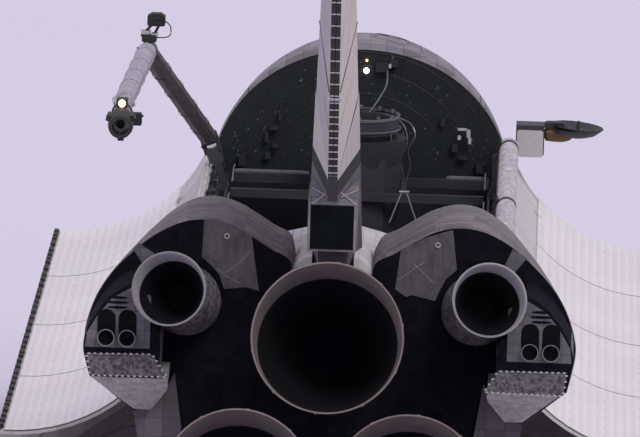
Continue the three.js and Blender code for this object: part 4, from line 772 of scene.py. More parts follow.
def main_bells():
    """The three main engine bells, with hoops and brackets round the rim."""
    for name, x, y, z, pitch in MAIN_ENGINES:
        angle = math.radians(pitch)
        along = way(math.cos(angle), 0, math.sin(angle))
        mouth = at(x, y, z)
        start = mouth - along * (BELL_LENGTH * INCH)
        # Inside each bell: painted shadow deep in, and a painted lit band by the upper lip
        inside = bell_inside_painted_light(name + "_bell_inside_painted_light", (0.2, 0.17, 0.16), (0.07, 0.055, 0.052), mouth, along,
                             0.42, 0.365, 0.0)
        bell(name + "_main_bell", start, along, BELL_PROFILE, BELL_WALL, "bell", inside,
             name + "_main_engine_nozzle", "engine_bronze")
        trim = Builder()
        for s in HOOPS:
            r = row_at(BELL_PROFILE, s)[0]
            trim.lathe(start, along, [(s - 0.9, r - 0.6), (s - 0.9, r + 0.45), (s + 0.9, r + 0.55),
                                      (s + 0.9, r - 0.4)], 72)
        side = along.cross(STARBOARD).normalized()
        for turn in turns(RIM_BRACKETS, 0.2):
            out = around(STARBOARD, side, turn)
            spot = mouth + (out * (BELL_EXIT - 0.3) - along * 1.4) * INCH
            trim.box(spot, out * 0.5, along.cross(out) * 1.1, along * 0.9, 0.25)
        trim.make(name + "_bell_hoops", "rim")


# Manoeuvring engines. Exit columns: station, distance from the middle, height
OMS_EXIT = (1579, 98.4, 505.3)
OMS_PITCH = math.radians(15.8)
OMS_YAW = math.radians(6.5)
OMS_LENGTH = 58
OMS_PROFILE = [(0, 9), (10, 9), (20, 12.6), (30, 15.8), (44, 19.4), (OMS_LENGTH, 22.4)]
OMS_WALL = 0.6


def oms_line(side):
    """The throat, the mouth and the direction of a manoeuvring engine's bell."""
    x, y, z = OMS_EXIT
    level = math.cos(OMS_PITCH)
    along = way(level * math.cos(OMS_YAW), side * math.sin(OMS_YAW), math.sin(OMS_PITCH))
    mouth = at(x, side * y, z)
    return mouth - along * (OMS_LENGTH * INCH), mouth, along


def oms_bells():
    """The two manoeuvring bells, each with a raised rim."""
    for side, name in SIDES:
        throat, mouth, along = oms_line(side)
        # Inside each bell: painted shadow deep in, and a painted lit band by the upper lip
        inside = bell_inside_painted_light(name + "_oms_inside_painted_light", (0.36, 0.35, 0.37), (0.17, 0.16, 0.18), mouth, along,
                             0.2, 0.42, side * 0.35)
        bell(name + "_oms_bell", throat, along, OMS_PROFILE, OMS_WALL, "oms", inside,
             name + "_oms_nozzle", "nozzle_alloy", 72)
        rim = Builder().lathe(mouth, along, [(-2.2, 21.9), (-1.8, 22.9), (0, 23.1), (0.05, 22.2)], 72)
        rim.make(name + "_oms_rim", "oms")


# Pods for manoeuvring engines and thrusters

POD_OUTLINE = [(24, 494), (26, 511), (38, 518), (50, 525.5), (62, 532), (76, 535.5), (90, 534.5),
               (102, 530), (114, 522.5), (126, 512), (137, 500), (146, 485), (151.5, 469), (152.5, 456),
               (148, 434)]
POD_FOOT = [(122, 413), (96, 412)]
# Columns: station, share of the full section, share of its outer half's width
POD_STATIONS = [(1309, 0.12, 0.12), (1325, 0.42, 0.4), (1345, 0.66, 0.6), (1370, 0.85, 0.74),
                (1400, 0.96, 0.82), (1440, 1, 0.89), (1470, 1, 0.95), (1500, 1, 1)]
POD_STEPS = 4
POD_ANCHOR = (72, 455)
POD_BACK_X = 1500.7
# The station that the pixels on the pods' backs are read at
READ_X = 1501
HOUSING = [(104, 444.5), (104, 472), (112, 479), (119, 489), (121, 503.5), (134, 496), (143, 485),
           (149.5, 473), (151, 463), (149.5, 455), (146.5, 444.5)]
HOUSING_BACK_X = 1556
PANEL = [(110, 463), (110, 496), (122, 501), (134, 494), (142.5, 483), (149, 472), (150, 463)]
FAIRING_X = 1500.5
FAIRING = [(96, 438), (101, 427), (121, 412), (118, 396), (93, 380), (91, 404)]
THRUSTER_Y = (124, 137)
THRUSTER_Z = 470
THRUSTER_PROFILE = [(0, 3.4), (3, 4.3), (6.4, 5.2), (6.9, 5.35), (6.9, 4.9), (6.2, 4.7)]
WELL_RADIUS = 5.6
WELL_RISE = 11.5
SLITS = 3
GAP_FILLER_STEP = 3.4

# Pieces read off the photograph, as pixel corners. The starboard ones are read on their own side.
PATCHES = {
    "port": [(204, 219), (216, 218.5), (236, 226), (252, 236.5), (255, 262), (259, 291), (246, 287),
             (224, 289), (219, 274), (211, 265), (202, 257)],
    "starboard": [(401, 249.5), (425, 238), (453, 230), (457, 270), (446, 279), (439, 292), (435, 301),
                  (412, 295), (406, 297), (395, 289)],
}
FITTINGS = {"port": (227, 236), "starboard": (438, 245)}
POD_SEAMS = {"port": [[(226, 273), (240, 262), (250, 251)], [(216, 268), (228, 277), (240, 283)]],
             "starboard": [[(413, 263), (425, 274), (434, 283)], [(398, 280), (412, 270), (424, 262)]]}
SPECKLED = {"port": [(86, 353), (152, 354), (167, 377), (90, 375)],
            "starboard": [(498, 371), (567, 373), (563, 396), (484, 392)]}
STRIPS = {"port": [(133, 249), (139, 243), (155, 254), (144, 266)],
          "starboard": [(505, 265), (513, 249), (527, 258), (513, 275)]}


def pod_ring(x, share, wide, side, outline):
    """A pod's section: the share scales it about its anchor, and wide scales its outer half across."""
    ring = []
    for y, z in outline:
        reach = y - POD_ANCHOR[0]
        ring.append(at(x, side * (POD_ANCHOR[0] + reach * (wide if reach > 0 else share)),
                       POD_ANCHOR[1] + (z - POD_ANCHOR[1]) * share))
    return ring


def pods():
    """Smooth skins for both pods and their thruster housings, dark where they face aft."""
    outline = smooth_outline(POD_OUTLINE) + POD_FOOT
    housing = smooth_outline(HOUSING, 3)
    stations = []
    for (x0, *_), (x1, *_) in zip(POD_STATIONS, POD_STATIONS[1:]):
        stations += [x0 + (x1 - x0) * k / POD_STEPS for k in range(POD_STEPS)]
    rows = [(x, *row_at(POD_STATIONS, x)) for x in stations] + [POD_STATIONS[-1], (POD_BACK_X, 0.995, 0.995)]
    for side, name in SIDES:
        build = Builder().loft([pod_ring(x, a, b, side, outline) for x, a, b in rows])
        skin_faces = len(build.faces)
        build.loft([[at(x, side * y, z) for y, z in housing]
                    for x in (1488, HOUSING_BACK_X - 0.7, HOUSING_BACK_X)])
        obj = build.make(name + "_pod_skin", ["pod", "base", "grey_tile"], slot="quilted_blanket")
        for polygon in obj.data.polygons:
            dark = abs(polygon.normal.dot(AFT)) > 0.8
            if polygon.index >= skin_faces:
                dark = dark or abs(polygon.normal.dot(UP)) > 0.3
            polygon.material_index = 1 if dark else 0
        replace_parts(obj, name + "_oms_pod")
        pod_back(side, name)
        thruster_housing(side, name)
        lower_panel(side, name)


def pod_back(side, name):
    """Patch, strip, fitting and seams on a pod's back, and the collar of its engine."""
    patch = Builder().plate(traced(PATCHES[name], READ_X), POD_BACK_X, 0.5)
    patch.make(name + "_pod_patch", "patch", smooth=False)
    strip = Builder().plate(traced(STRIPS[name], READ_X), POD_BACK_X, 0.4)
    strip.make(name + "_pod_strip", "grey_tile", smooth=False)
    y, z = traced([FITTINGS[name]], READ_X)[0]
    fitting = Builder().lathe(at(READ_X + 0.1, y, z), AFT, [(0, 1.7), (0.9, 1.7), (0.9, 1.1), (0.1, 1.0)], 24)
    for seam in POD_SEAMS[name]:
        fitting.path([at(READ_X + 0.2, *p) for p in traced(seam, READ_X)], 0.1, 6)
    fitting.make(name + "_pod_fitting", "trim")
    throat, _, along = oms_line(side)
    collar = [(-24, 21), (-14, 22), (-4, 21.5), (8, 19.5), (20, 17), (26, 15.8)]
    Builder().lathe(throat, along, collar, 56).make(name + "_oms_collar", "collar")


def thruster_housing(side, name):
    """The panel on a thruster housing's back, with two thrusters in wells and three slits."""
    panel = Builder().plate([(side * y, z) for y, z in PANEL], HOUSING_BACK_X, 0.4)
    panel.make(name + "_thruster_panel", "grey_tile", smooth=False)
    wells = Builder()
    bells = Builder()
    cups = Builder()
    way_out = way(1, 0, 0.12)
    for y in THRUSTER_Y:
        oval = [(side * y + WELL_RADIUS * math.cos(turn), THRUSTER_Z + WELL_RADIUS * math.sin(turn)
                 + (WELL_RISE if math.sin(turn) > 0 else 0)) for turn in turns(28)]
        wells.plate(oval, HOUSING_BACK_X + 0.3, 0.3)
        start = at(HOUSING_BACK_X - 2, side * y, THRUSTER_Z - 1)
        bells.lathe(start, way_out, THRUSTER_PROFILE, 32)
        cups.lathe(start, way_out, [(6.3, 4.75), (2, 2.6), (2, 0.05)], 32)
    for k in range(SLITS):
        width = 7.0 - 0.8 * abs(k - 1)
        slit = [(side * 130.5 + width * math.cos(turn), 494.5 - 3.1 * k + 0.85 * math.sin(turn))
                for turn in turns(20)]
        wells.plate(slit, HOUSING_BACK_X + 0.35, 0.3)
    wells.make(name + "_thruster_wells", "black_flat", smooth=False)
    bells.make(name + "_thruster_bells", "oms")
    cups.make(name + "_thruster_cups", "black_flat")


def lower_panel(side, name):
    """The speckled panel under a housing, its gap fillers, the sloping heel and the side fairing."""
    corners = traced(SPECKLED[name], HOUSING_BACK_X)
    panel = Builder().plate(corners, HOUSING_BACK_X, 0.4)
    panel.make(name + "_lower_panel", "speckle", smooth=False)
    dots = Builder()
    for a, b in zip(corners, corners[1:] + corners[:1]):
        count = max(2, int(math.dist(a, b) / GAP_FILLER_STEP))
        for k in range(count):
            t = (k + 0.5) / count
            y, z = (u + (v - u) * t for u, v in zip(a, b))
            dots.block(at(HOUSING_BACK_X + 0.5, y, z), 0.8, 0.45, 0.15, 0.3)
    dots.make(name + "_lower_panel_gap_fillers", "trim", smooth=False)
    corners = [(HOUSING_BACK_X, 146, 444.4), (HOUSING_BACK_X, 99, 444.4), (1548, 98.5, 438),
               (1541, 99.5, 434), (1504, 110, 414.5), (1503, 121, 414.5), (1503, 146.5, 434.5),
               (1501, 147, 444.4), (1501, 99, 444.4)]
    faces = [(0, 1, 2), (0, 2, 3), (0, 3, 4), (0, 4, 5), (0, 5, 6), (0, 6, 7), (0, 7, 8, 1), (1, 8, 2),
             (2, 8, 3), (3, 8, 4), (4, 8, 7, 6, 5)]
    heel = Builder().add([at(x, side * y, z) for x, y, z in corners], faces)
    heel.make(name + "_pod_heel", "wedge", smooth=False)
    fairing = Builder().plate([(side * y, z) for y, z in FAIRING], FAIRING_X, 1.2)
    fairing.make(name + "_side_fairing", "fairing", smooth=False)


# The starboard side of the closed base's outline, upward, and its foot
BASE_SIDE = [(100, 300), (103, 340), (103, 440), (98, 480), (84, 497)]
BASE_FOOT = [(84, 290), (-84, 290)]
BASE_X = 1499.6
# Columns: station, width, height
FILLET_ROWS = [(1395, 3, 4), (1420, 7, 9), (1460, 9, 12), (1498, 10, 13)]
FILLET_Y = 17
FILLET_Z = 500.7
FILLET_SECTION = [(-0.4, 0), (1, 0), (0.9, 0.3), (0.55, 0.6), (0, 0.95), (-0.4, 1)]


def base_details():
    """The closed-out base round the engines and the pale fairings at the fin's foot."""
    ring = [(-y, z) for y, z in BASE_SIDE] + BASE_SIDE[::-1] + BASE_FOOT
    Builder().plate(ring, BASE_X, 0.6).make("base_closeout", "base", smooth=False)
    for side, name in SIDES:
        fillet = Builder().loft([[at(x, side * (FILLET_Y + dy * width), FILLET_Z + dz * height)
                                  for dy, dz in FILLET_SECTION] for x, width, height in FILLET_ROWS])
        fillet.make(name + "_fin_fillet", "door")


# The tail

RUDDER_BASE = (1524.4, 622.7)
HINGE_LEAN = math.atan(HINGE_SLOPE)
SPAN_WAY = way(math.sin(HINGE_LEAN), 0, math.cos(HINGE_LEAN))
CHORD_WAY = way(math.cos(HINGE_LEAN), 0, -math.sin(HINGE_LEAN))
RUDDER_SPAN = 230.6
RUDDER_HALF = 13.35
RUDDER_CHORD = 74.8
LADDER_SPLIT = 57
LADDER_TOP = 254
CHUTE_X = 1562


def rudder_point(along, aft, across):
    """A point from the rudder's foot: along its hinge line, aft of it and across."""
    return at(RUDDER_BASE[0], across, RUDDER_BASE[1]) + (SPAN_WAY * along + CHORD_WAY * aft) * INCH


def rudder_chord(along):
    return RUDDER_CHORD - 0.1506 * along


def rudder_side(along, share, side, lift):
    """A point on a panel's outer side: share 0 at the front shoulder, 1 at the trailing edge."""
    half = RUDDER_HALF - (6.2 / RUDDER_SPAN) * along
    front = half * 0.24
    aft = front + (rudder_chord(along) - front) * share
    return rudder_point(along, aft, side * (half * 0.97 + (3 - half * 0.97) * share + lift))


def tail_details():
    """Ladder strips, rungs and seams on the two rudder halves."""
    for side, name in SIDES:
        body = name + "_rudder_half"
        strip = Builder()
        for ends in ((0.6, LADDER_SPLIT), (LADDER_SPLIT + 1.5, LADDER_TOP)):
            strip.loft([[rudder_point(along, rudder_chord(along) + a, side * b)
                         for a, b in [(0, 0.2), (0, 2.9), (0.35, 2.9), (0.35, 0.2)]] for along in ends])
        strip.make(name + "_ladder_strip", "ladder", body, smooth=False)
        rungs = Builder()
        along = 3.0
        while along < LADDER_TOP - 2:
            rung = rudder_point(along, rudder_chord(along) + 0.5, side * 1.55)
            rungs.box(rung, STARBOARD * 1.4, SPAN_WAY * 0.3, CHORD_WAY * 0.3, 0.2)
            along += 5.2 if along < LADDER_SPLIT else 8.6
        foot = LADDER_SPLIT + 0.7
        rungs.box(rudder_point(foot, rudder_chord(foot) + 0.5, side * 2.2), STARBOARD * 2.1,
                  SPAN_WAY * 0.9, CHORD_WAY * 0.5, 0.2)
        rungs.make(name + "_ladder_rungs", "trim", body, smooth=False)
        seams = Builder().path([rudder_side(62, 0.99 - k * 0.09, side, 0.15) for k in range(12)], 0.42, 8)
        for along in (34, 100, 150, 200):
            seams.path([rudder_side(along, k / 10, side, 0.05) for k in range(11)], 0.12, 6)
        seams.make(name + "_rudder_seams", "latch", body)


def facets():
    """Between the rudder's lower end and the parachute door: a crossed grey box with black corners."""
    rim = traced([(312, 204), (312, 186), (334, 196), (358, 190), (358, 206)], CHUTE_X + 1)
    Builder().plate(rim, CHUTE_X + 0.2, 0.4).make("tail_cross_panel", "box_grey", smooth=False)
    cross = Builder()
    for ends in [((313, 203), (331, 190)), ((357, 205), (338, 190)), ((312, 187), (331, 198)),
                 ((358, 190), (338, 198))]:
        cross.path([at(CHUTE_X + 1, *p) for p in traced(ends, CHUTE_X + 1)], 0.35, 6)
    cross.make("tail_cross_ribs", "trim")


def chute():
    """The parachute compartment's black door in its grey frame."""
    door = Builder().plate([(-13.2, 530.5), (13.2, 530.5), (13.2, 557.5), (-13.2, 557.5)], CHUTE_X, 0.8)
    door.make("chute_door", "black_flat", smooth=False)
    bars = Builder()
    for y in (-14.1, 14.1):
        bars.box(at(CHUTE_X + 0.5, y, 546), STARBOARD * 0.7, AFT * 0.6, UP * 17, 0.2)
    bars.box(at(CHUTE_X + 0.5, 0, 559.2), STARBOARD * 14.4, AFT * 0.6, UP * 0.9, 0.2)
    bars.make("chute_door_frame", "box_grey", smooth=False)


# The bay, its sills and what stands on them

SILL_Z = 412
SILL_ENDS = (600, 1296)
SILL_BOX_Y = 98.5
CABLE_Y = 95.5
CABLES = 3
RAIL_Y = 88.5
# Stations of the handrails, between the cradles of the arm and the boom
HANDRAILS = [(592, 662), (710, 892), (936, 1160), (1208, 1238)]
FRONT_WALL_X = 582.1
# The liner's hoops: how many, their spacing, half width, top and depth
HOOP_COUNT = 11
HOOP_STEP = 60.4
HOOP_HALF = 91.5
HOOP_Z = 399
HOOP_DEPTH = 103
SNAPS = 150
# Columns: Y, Z, half width, half height
WALL_BOXES = [(-62, 438, 3, 1.6), (-67, 431, 1.4, 3.4), (-61, 425, 2.4, 1.2), (-58, 446, 1.2, 2),
              (-66, 418, 2, 2.6), (66, 428, 2.2, 3), (72, 421, 3, 1.4), (84, 414, 2.4, 3.6),
              (13, 484, 4.6, 3.4), (21, 487, 3, 2.6), (-84, 414, 2.4, 4), (57, 446, 1.4, 3)]
WALL_COVERS = [(71, 442, 3.4, 0.9), (75.5, 439, 1.3, 3.0), (76.5, 434, 1.1, 2.4), (69, 436, 1.2, 1.6),
               (18.5, 485.5, 0.9, 1.5)]
# Columns: name, Y, Z, radius, material
BAY_LAMPS = [("bay_lamp", 1.8, 480.7, 1.9, "lamp_white"), ("bay_small_lamp", 1.9, 488, 0.8, "lamp_warm")]
# Hoses round the docking tower, as Y, Z and station
HOSES = [[(27, 457, 640), (35, 454, 644), (38.5, 446, 648), (34, 436, 648), (35.5, 424, 646),
          (32, 410, 644), (29, 397, 640)],
         [(24, 459, 642), (31, 452, 648), (33, 441, 650), (29, 429, 650), (31, 416, 648), (27, 404, 644)],
         [(-20, 455, 640), (-30, 447, 646), (-27, 432, 648), (-33, 415, 644)],
         [(6, 462, 648), (12, 470, 640), (17, 478, 625), (17, 484, 600)]]
TOWER_X = 668
# Columns: height, radius, half thickness
TOWER_BANDS = [(463.5, 27.6, 0.7), (455, 28.4, 0.5), (440, 24.5, 0.5), (425, 27.5, 0.5)]


def sill_details():
    """Boxes, cables and handrails on the bay's sills."""
    rng = random.Random(7)
    dark = Builder()
    light = Builder()
    cables = Builder()
    for side, _ in SIDES:
        x = SILL_ENDS[0]
        while x < SILL_ENDS[1]:
            length = rng.uniform(5, 16)
            height = rng.uniform(3, 11)
            width = rng.uniform(1.6, 3.4)
            target = light if rng.random() < 0.16 else dark
            target.block(at(x + length / 2, side * (SILL_BOX_Y + width / 2), SILL_Z + height / 2),
                         width, height / 2, length / 2, 0.2)
            x += length + rng.uniform(2, 13)
        for k in range(CABLES):
            points = []
            for i in range(36):
                y = CABLE_Y + 1.2 * k + rng.uniform(-0.6, 0.6)
                points.append(at(SILL_ENDS[0] + i * 19.8, side * y,
                                 SILL_Z + 2 + 1.4 * k + rng.uniform(-0.8, 2.2)))
            cables.path(curve_points(points, 3), 0.45 + 0.2 * k, 6)
        for first, last in HANDRAILS:
            count = max(int((last - first) / 20), 2)
            rail = [at(first + (last - first) * i / count, side * RAIL_Y, SILL_Z + 3 * min(i, count - i, 1))
                    for i in range(count + 1)]
            light.path(curve_points(rail, 4), 0.45, 6)
    dark.make("sill_boxes", "latch", smooth=False)
    light.make("sill_handrails", "metal")
    cables.make("sill_cables", "latch")


def liner_frames():
    """Frames of the liner on the bay's inside."""
    ribs = Builder()
    half_circle = [math.pi * k / 24 for k in range(25)]
    for i in range(1, HOOP_COUNT + 1):
        x = BAY_FRONT_X + i * HOOP_STEP
        ribs.path([at(x, HOOP_HALF * math.cos(turn), HOOP_Z - HOOP_DEPTH * math.sin(turn) ** 0.72)
                   for turn in half_circle], 0.55, 6)
    ribs.make("liner_frames", "dark_metal")


def front_wall():
    """Blanket seams, snaps, boxes, covers and lamps on the bay's front wall. The pale snaps, scattered at
    random, also serve as painted glints.
    """
    x = FRONT_WALL_X
    seams = Builder()
    for radius in (62, 78, 92):
        arc = [math.pi * k / 40 for k in range(3, 38)]
        seams.path([at(x, radius * math.cos(turn) * 1.03, 402 + radius * math.sin(turn))
                    for turn in arc], 0.3, 6)
    for k in range(-4, 5):
        tall = 84 - 1.4 * k * k
        seams.path([at(x, 20.5 * k + 1, 404 + tall * i / 12) for i in range(13)], 0.28, 6)
    seams.make("front_wall_seams", "latch")
    # Random pale snaps on the dark wall: small fittings whose lighter grey also stands in for glints, painted
    # highlights
    rng = random.Random(19)
    snaps = Builder()
    for _ in range(SNAPS):
        y = rng.uniform(-92, 92)
        z = rng.uniform(415, 494 - 0.0075 * y * y)
        size = rng.uniform(0.25, 0.7)
        snaps.block(at(x - 0.4, y, z), size, size * rng.uniform(0.4, 1.2), 0.35, 0.3)
    snaps.make("front_wall_snaps", "dock_edge", smooth=False)
    boxes = Builder()
    for y, z, wide, high in WALL_BOXES:
        boxes.block(at(x + 2.8, y, z), wide, high, 2, 0.1)
    boxes.make("front_wall_boxes", "latch", smooth=False)
    covers = Builder()
    for y, z, wide, high in WALL_COVERS:
        covers.block(at(x + 6.8, y, z), wide, high, 0.5, 0.4)
    covers.make("front_wall_covers", "trim", smooth=False)
    for name, y, z, radius, look in BAY_LAMPS:
        bulb = [(0, radius), (1.6, radius), (2.3, radius * 0.7), (2.6, 0.05)]
        Builder().lathe(at(x, y, z), AFT, bulb, 20).make(name, look)


def docking_trim():
    """Hoses beside the docking tower, and the bands, knobs and rods of its ring. The ring's pale trim also
    serves as painted highlights on the dark tower.
    """
    hoses = Builder()
    for run in HOSES:
        hoses.path(curve_points([at(x, y, z) for y, z, x in run], 6), 0.5, 8)
    hoses.make("docking_hoses", "dock_edge")

    def ring_point(radius, turn, z):
        return at(TOWER_X + radius * math.sin(turn), radius * math.cos(turn), z)

    # The ring's bands, knobs and rods are real trim, and their lighter grey also stands in for the ring's
    # highlights: painted highlights
    ring = Builder()
    for z, radius, thick in TOWER_BANDS:
        ring.lathe(at(TOWER_X, 0, z), UP, [(-thick, radius - 0.8), (-thick, radius + 0.4),
                                           (thick, radius + 0.4), (thick, radius - 0.8)], 56)
    for turn in turns(12):
        ring.box(ring_point(26, turn, 464.5), STARBOARD * 1.1, AFT * 1.1, UP * 1.3, 0.25)
    for turn in turns(6, 0.3):
        ring.tube(ring_point(27, turn, 426), ring_point(28, turn + 0.4, 455), 0.6, 8)
    ring.make("docking_ring_trim", "dock_edge")


def cover_bands():
    """Grey covers across the bay in front of the docking tower, and an A-shaped stand."""
    bands = Builder()
    for y, wide in [(-63, 27), (76, 15)]:
        bands.block(at(604, y, 406.5), wide, 4.4, 1, 0.15)
    bands.make("bay_cover_bands", "box_grey", smooth=False)
    stand = Builder()
    for y0, z0, y1, radius in [(24, 404, 32, 0.5), (43, 404, 35, 0.5), (30, 426, 37, 0.8)]:
        stand.tube(at(760, y0, z0), at(760, y1, 426), radius, 8)
    stand.make("bay_stand", "metal")


# The crew cabin's roof and the nose

# Columns: station, half width, top and height of the widest point
CROWN_ROWS = [(490, 101, 491, 384), (530, 104, 498, 394), (582, 106, 500.5, 400)]
NOSE_ROWS = [(300, 52, 392, 343), (350, 71, 411, 348)]
CROWN_FRONT_X = 505.4
CROWN_BACK_X = 581.3
CROWN_STEPS = 96
# Columns: station, half width, top, height of the widest point and bottom
CAP_ROWS = [(239, 4.2, 342.5, 339, 335.5), (240.2, 9, 346.5, 339, 331.5), (243, 12, 349, 339, 329),
            (262, 31, 371, 340, 312), (299.6, 52, 392, 343, 298)]
CAP_LENGTH = 60.6
CAP_RINGS = 29
# Columns: station, degrees up from the starboard side
NOSE_THRUSTERS = [(312, 78), (312, 90), (312, 102), (328, 82), (328, 98), (330, 22), (342, 22), (330, 36),
                  (330, 158), (342, 158), (330, 144)]
# The overhead windows: station, distance from the middle and half size
WINDOW_X = 547
WINDOW_Y = 18.5
WINDOW_HALF = 10


def hull_point(rows, x, turn, lift=0.0):
    """A point of the body's upper half ellipse at a station."""
    half, top, waist = row_at(rows, x)
    return at(x, (half + lift) * math.cos(turn), waist + (top - waist + lift) * math.sin(turn))


def crown_swell(x, turn):
    """The roof's low swell round the overhead windows."""
    return 1.5 * math.exp(-((x - 538) / 16) ** 2) * math.sin(turn) ** 8


def crown_over(x, y, lift):
    turn = math.acos(y / row_at(CROWN_ROWS, x)[0])
    return hull_point(CROWN_ROWS, x, turn, lift + crown_swell(x, turn))


def crown_skin():
    """A smooth blanket over the roof's aft end, and the pale crescent round the bay's front wall."""
    stations = [506 + 5 * k for k in range(15)] + [CROWN_BACK_X]
    skin = []
    edge = []
    for k in range(CROWN_STEPS + 1):
        turn = math.radians(3) + math.radians(174) * k / CROWN_STEPS
        skin.append([hull_point(CROWN_ROWS, CROWN_FRONT_X, turn, -0.9)]
                    + [hull_point(CROWN_ROWS, x, turn, 0.16 + crown_swell(x, turn)) for x in stations]
                    + [hull_point(CROWN_ROWS, x, turn, -1.6) for x in (CROWN_BACK_X, 545)])
        inward = -0.8 - 4.2 * math.sin(turn) ** 3
        edge.append([hull_point(CROWN_ROWS, x, turn, lift) for x, lift in
                     [(581.4, inward), (581.4, 0.14), (582.05, 0.1), (582.3, inward)]])
    Builder().loft(skin).make("crown_blanket", "crown_top")
    Builder().loft(edge).make("crown_edge_frame", "crown_top")


def roof_windows():
    """The two overhead windows: a dark pane in a raised rim."""
    def spot(side, turn, grow, lift):
        across, ahead = (math.copysign(abs(v) ** 0.45, v) for v in (math.cos(turn), math.sin(turn)))
        half = WINDOW_HALF + grow
        return crown_over(WINDOW_X + half * ahead, side * (WINDOW_Y + half * across), lift)

    section = [(0, 0), (0, 0.8), (2.4, 0.8), (3, 0)]
    for side, name in SIDES:
        corners = [2 * math.pi * k / 40 for k in range(41)]
        rim = Builder().loft([[spot(side, turn, grow, lift) for grow, lift in section]
                              for turn in corners], caps=False)
        rim.make(name + "_roof_window_rim", "box_grey")
        pane = Builder().loft([[spot(side, turn, 0, lift) for turn in corners[:-1]] for lift in (0.1, 0.42)])
        pane.make(name + "_roof_window", "glass", smooth=False)


def nose_cap():
    """The carbon nose cap as a smooth dome."""
    rings = []
    for k in range(CAP_RINGS + 1):
        x = CAP_ROWS[0][0] + CAP_LENGTH * (k / CAP_RINGS) ** 2
        half, top, waist, bottom = row_at(CAP_ROWS, x)
        rings.append([at(x, half * math.cos(turn), waist + math.sin(turn)
                         * (top - waist if math.sin(turn) > 0 else waist - bottom)) for turn in turns(72)])
    obj = Builder().loft(rings).make("nose_dome", "carbon", slot="reinforced_carbon")
    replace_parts(obj, "nose_cap")


def nose_thrusters():
    """Small control thrusters round the nose: dark throats in pale collars."""
    collars = Builder()
    throats = Builder()
    for x, degrees in NOSE_THRUSTERS:
        turn = math.radians(degrees)
        foot = hull_point(NOSE_ROWS, x, turn)
        out = (hull_point(NOSE_ROWS, x, turn, 4) - foot).normalized()
        collars.lathe(foot, out, [(-1.5, 4.6), (0.3, 4.6), (0.6, 4.2), (0.5, 3.6), (-1.5, 3.4)], 28)
        throats.lathe(foot, out, [(-1.4, 3.5), (0.2, 3.5), (0.2, 3.2), (-1.2, 1.2), (-1.3, 0.05)], 28)
    collars.make("nose_thruster_collars", "grey_tile")
    throats.make("nose_thruster_throats", "black_flat")


# Wheels

# Columns: node, joint at its axle, body, tyre width, distance between the two tyres' middles
WHEEL_SETS = [("nose_wheels", "nose_wheels_spin", "nose_wheel_set", 8.8, 22),
              ("port_main_wheels", "port_main_wheels_spin", "port_wheel_set", 15.5, 26),
              ("starboard_main_wheels", "starboard_main_wheels_spin", "starboard_wheel_set", 15.5, 26)]
# Columns: share of the tyre's half width, share of its radius
TYRE_SHOULDER = [(-0.62, 0.55), (-0.9, 0.6), (-1, 0.78), (-0.86, 0.93), (-0.62, 0.985)]
GROOVES = (-0.42, -0.14, 0.14, 0.42)
# Columns: share of the half width from a groove's middle, depth in inches
GROOVE = [(-0.1, 0.02), (-0.035, 0.02), (-0.03, 0.5), (0.03, 0.5), (0.035, 0.02), (0.1, 0.02)]
BOLTS = 10


def wheel_profiles(half, radius):
    """The outlines of a tyre and of its hub."""
    shoulder = [(half * s, radius * r) for s, r in TYRE_SHOULDER]
    tyre = shoulder + [(half * (groove + s), radius - deep) for groove in GROOVES for s, deep in GROOVE]
    tyre += [(-s, r) for s, r in reversed(shoulder)]
    tyre += [(half * 0.6, radius * 0.5), (-half * 0.6, radius * 0.5), tyre[0]]
    hub = [(-half * 0.5, 0.3)]
    hub += [(half * s, radius * r) for s, r in [(-0.5, 0.16), (-0.34, 0.2), (-0.3, 0.42), (-0.62, 0.47),
                                                (-0.66, 0.54), (-0.55, 0.555)]]
    return tyre, hub + [(-s, r) for s, r in reversed(hub)]


def wheels():
    """Grooved tyres that stand for the plain wheels, and hubs with bolts on a shared axle."""
    for node, joint, body, width, spacing in WHEEL_SETS:
        low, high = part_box(node)
        radius = (high[2] - low[2]) / 2 / INCH
        half = width / 2
        tyre, hub = wheel_profiles(half, radius)
        axle = JOINTS[joint]
        tyres = Builder()
        hubs = Builder()
        for end in (-1, 1):
            middle = axle + off(end * spacing / 2)
            tyres.lathe(middle, STARBOARD, tyre, 96)
            hubs.lathe(middle, STARBOARD, hub, 64)
            for turn in turns(BOLTS):
                for face in (-1, 1):
                    spot = middle + around(AFT, UP, turn) * (radius * 0.31 * INCH) + off(face * half * 0.36)
                    hubs.tube(spot, spot + off(face * 0.9), radius * 0.035, 8)
        hubs.tube(axle - off(spacing / 2), axle + off(spacing / 2), 2.4, 24)
        obj = tyres.make(node + "_tyres", "tyre", body, slot="tyre_rubber")
        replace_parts(obj, node)
        hubs.make(node + "_hubs", "wheel", body)


# Crew seats

PAD_STEPS = 28
SEAT_Y = 27


def pad(name, centre, across, along, thick):
    """A crowned pad with a sewn cross seam. The three vectors are half extents in inches."""
    row = PAD_STEPS + 1
    verts = []
    faces = []
    steps = [-1 + 2 * i / PAD_STEPS for i in range(row)]
    for face in (-1, 1):
        base = len(verts)
        for a in steps:
            for b in steps:
                crown = max((1 - abs(a) ** 5) * (1 - abs(b) ** 5), 0.0) ** 0.4
                seam = 1 - 0.22 * math.exp(-(b * 14) ** 2) - 0.12 * math.exp(-((abs(a) - 0.5) * 16) ** 2)
                pulled = across * (a * (1 - 0.05 * (1 - b * b))) + along * (b * (1 - 0.05 * (1 - a * a)))
                verts.append(centre + (pulled + thick * (face * crown * seam)) * INCH)
        for i in range(PAD_STEPS):
            for j in range(PAD_STEPS):
                a = base + i * row + j
                quad = (a, a + 1, a + row + 1, a + row)
                faces.append(quad if face > 0 else quad[:1] + quad[:0:-1])
    obj = piece(name, "airframe", verts, faces, "cloth")
    clean(obj.data, 0.0002)


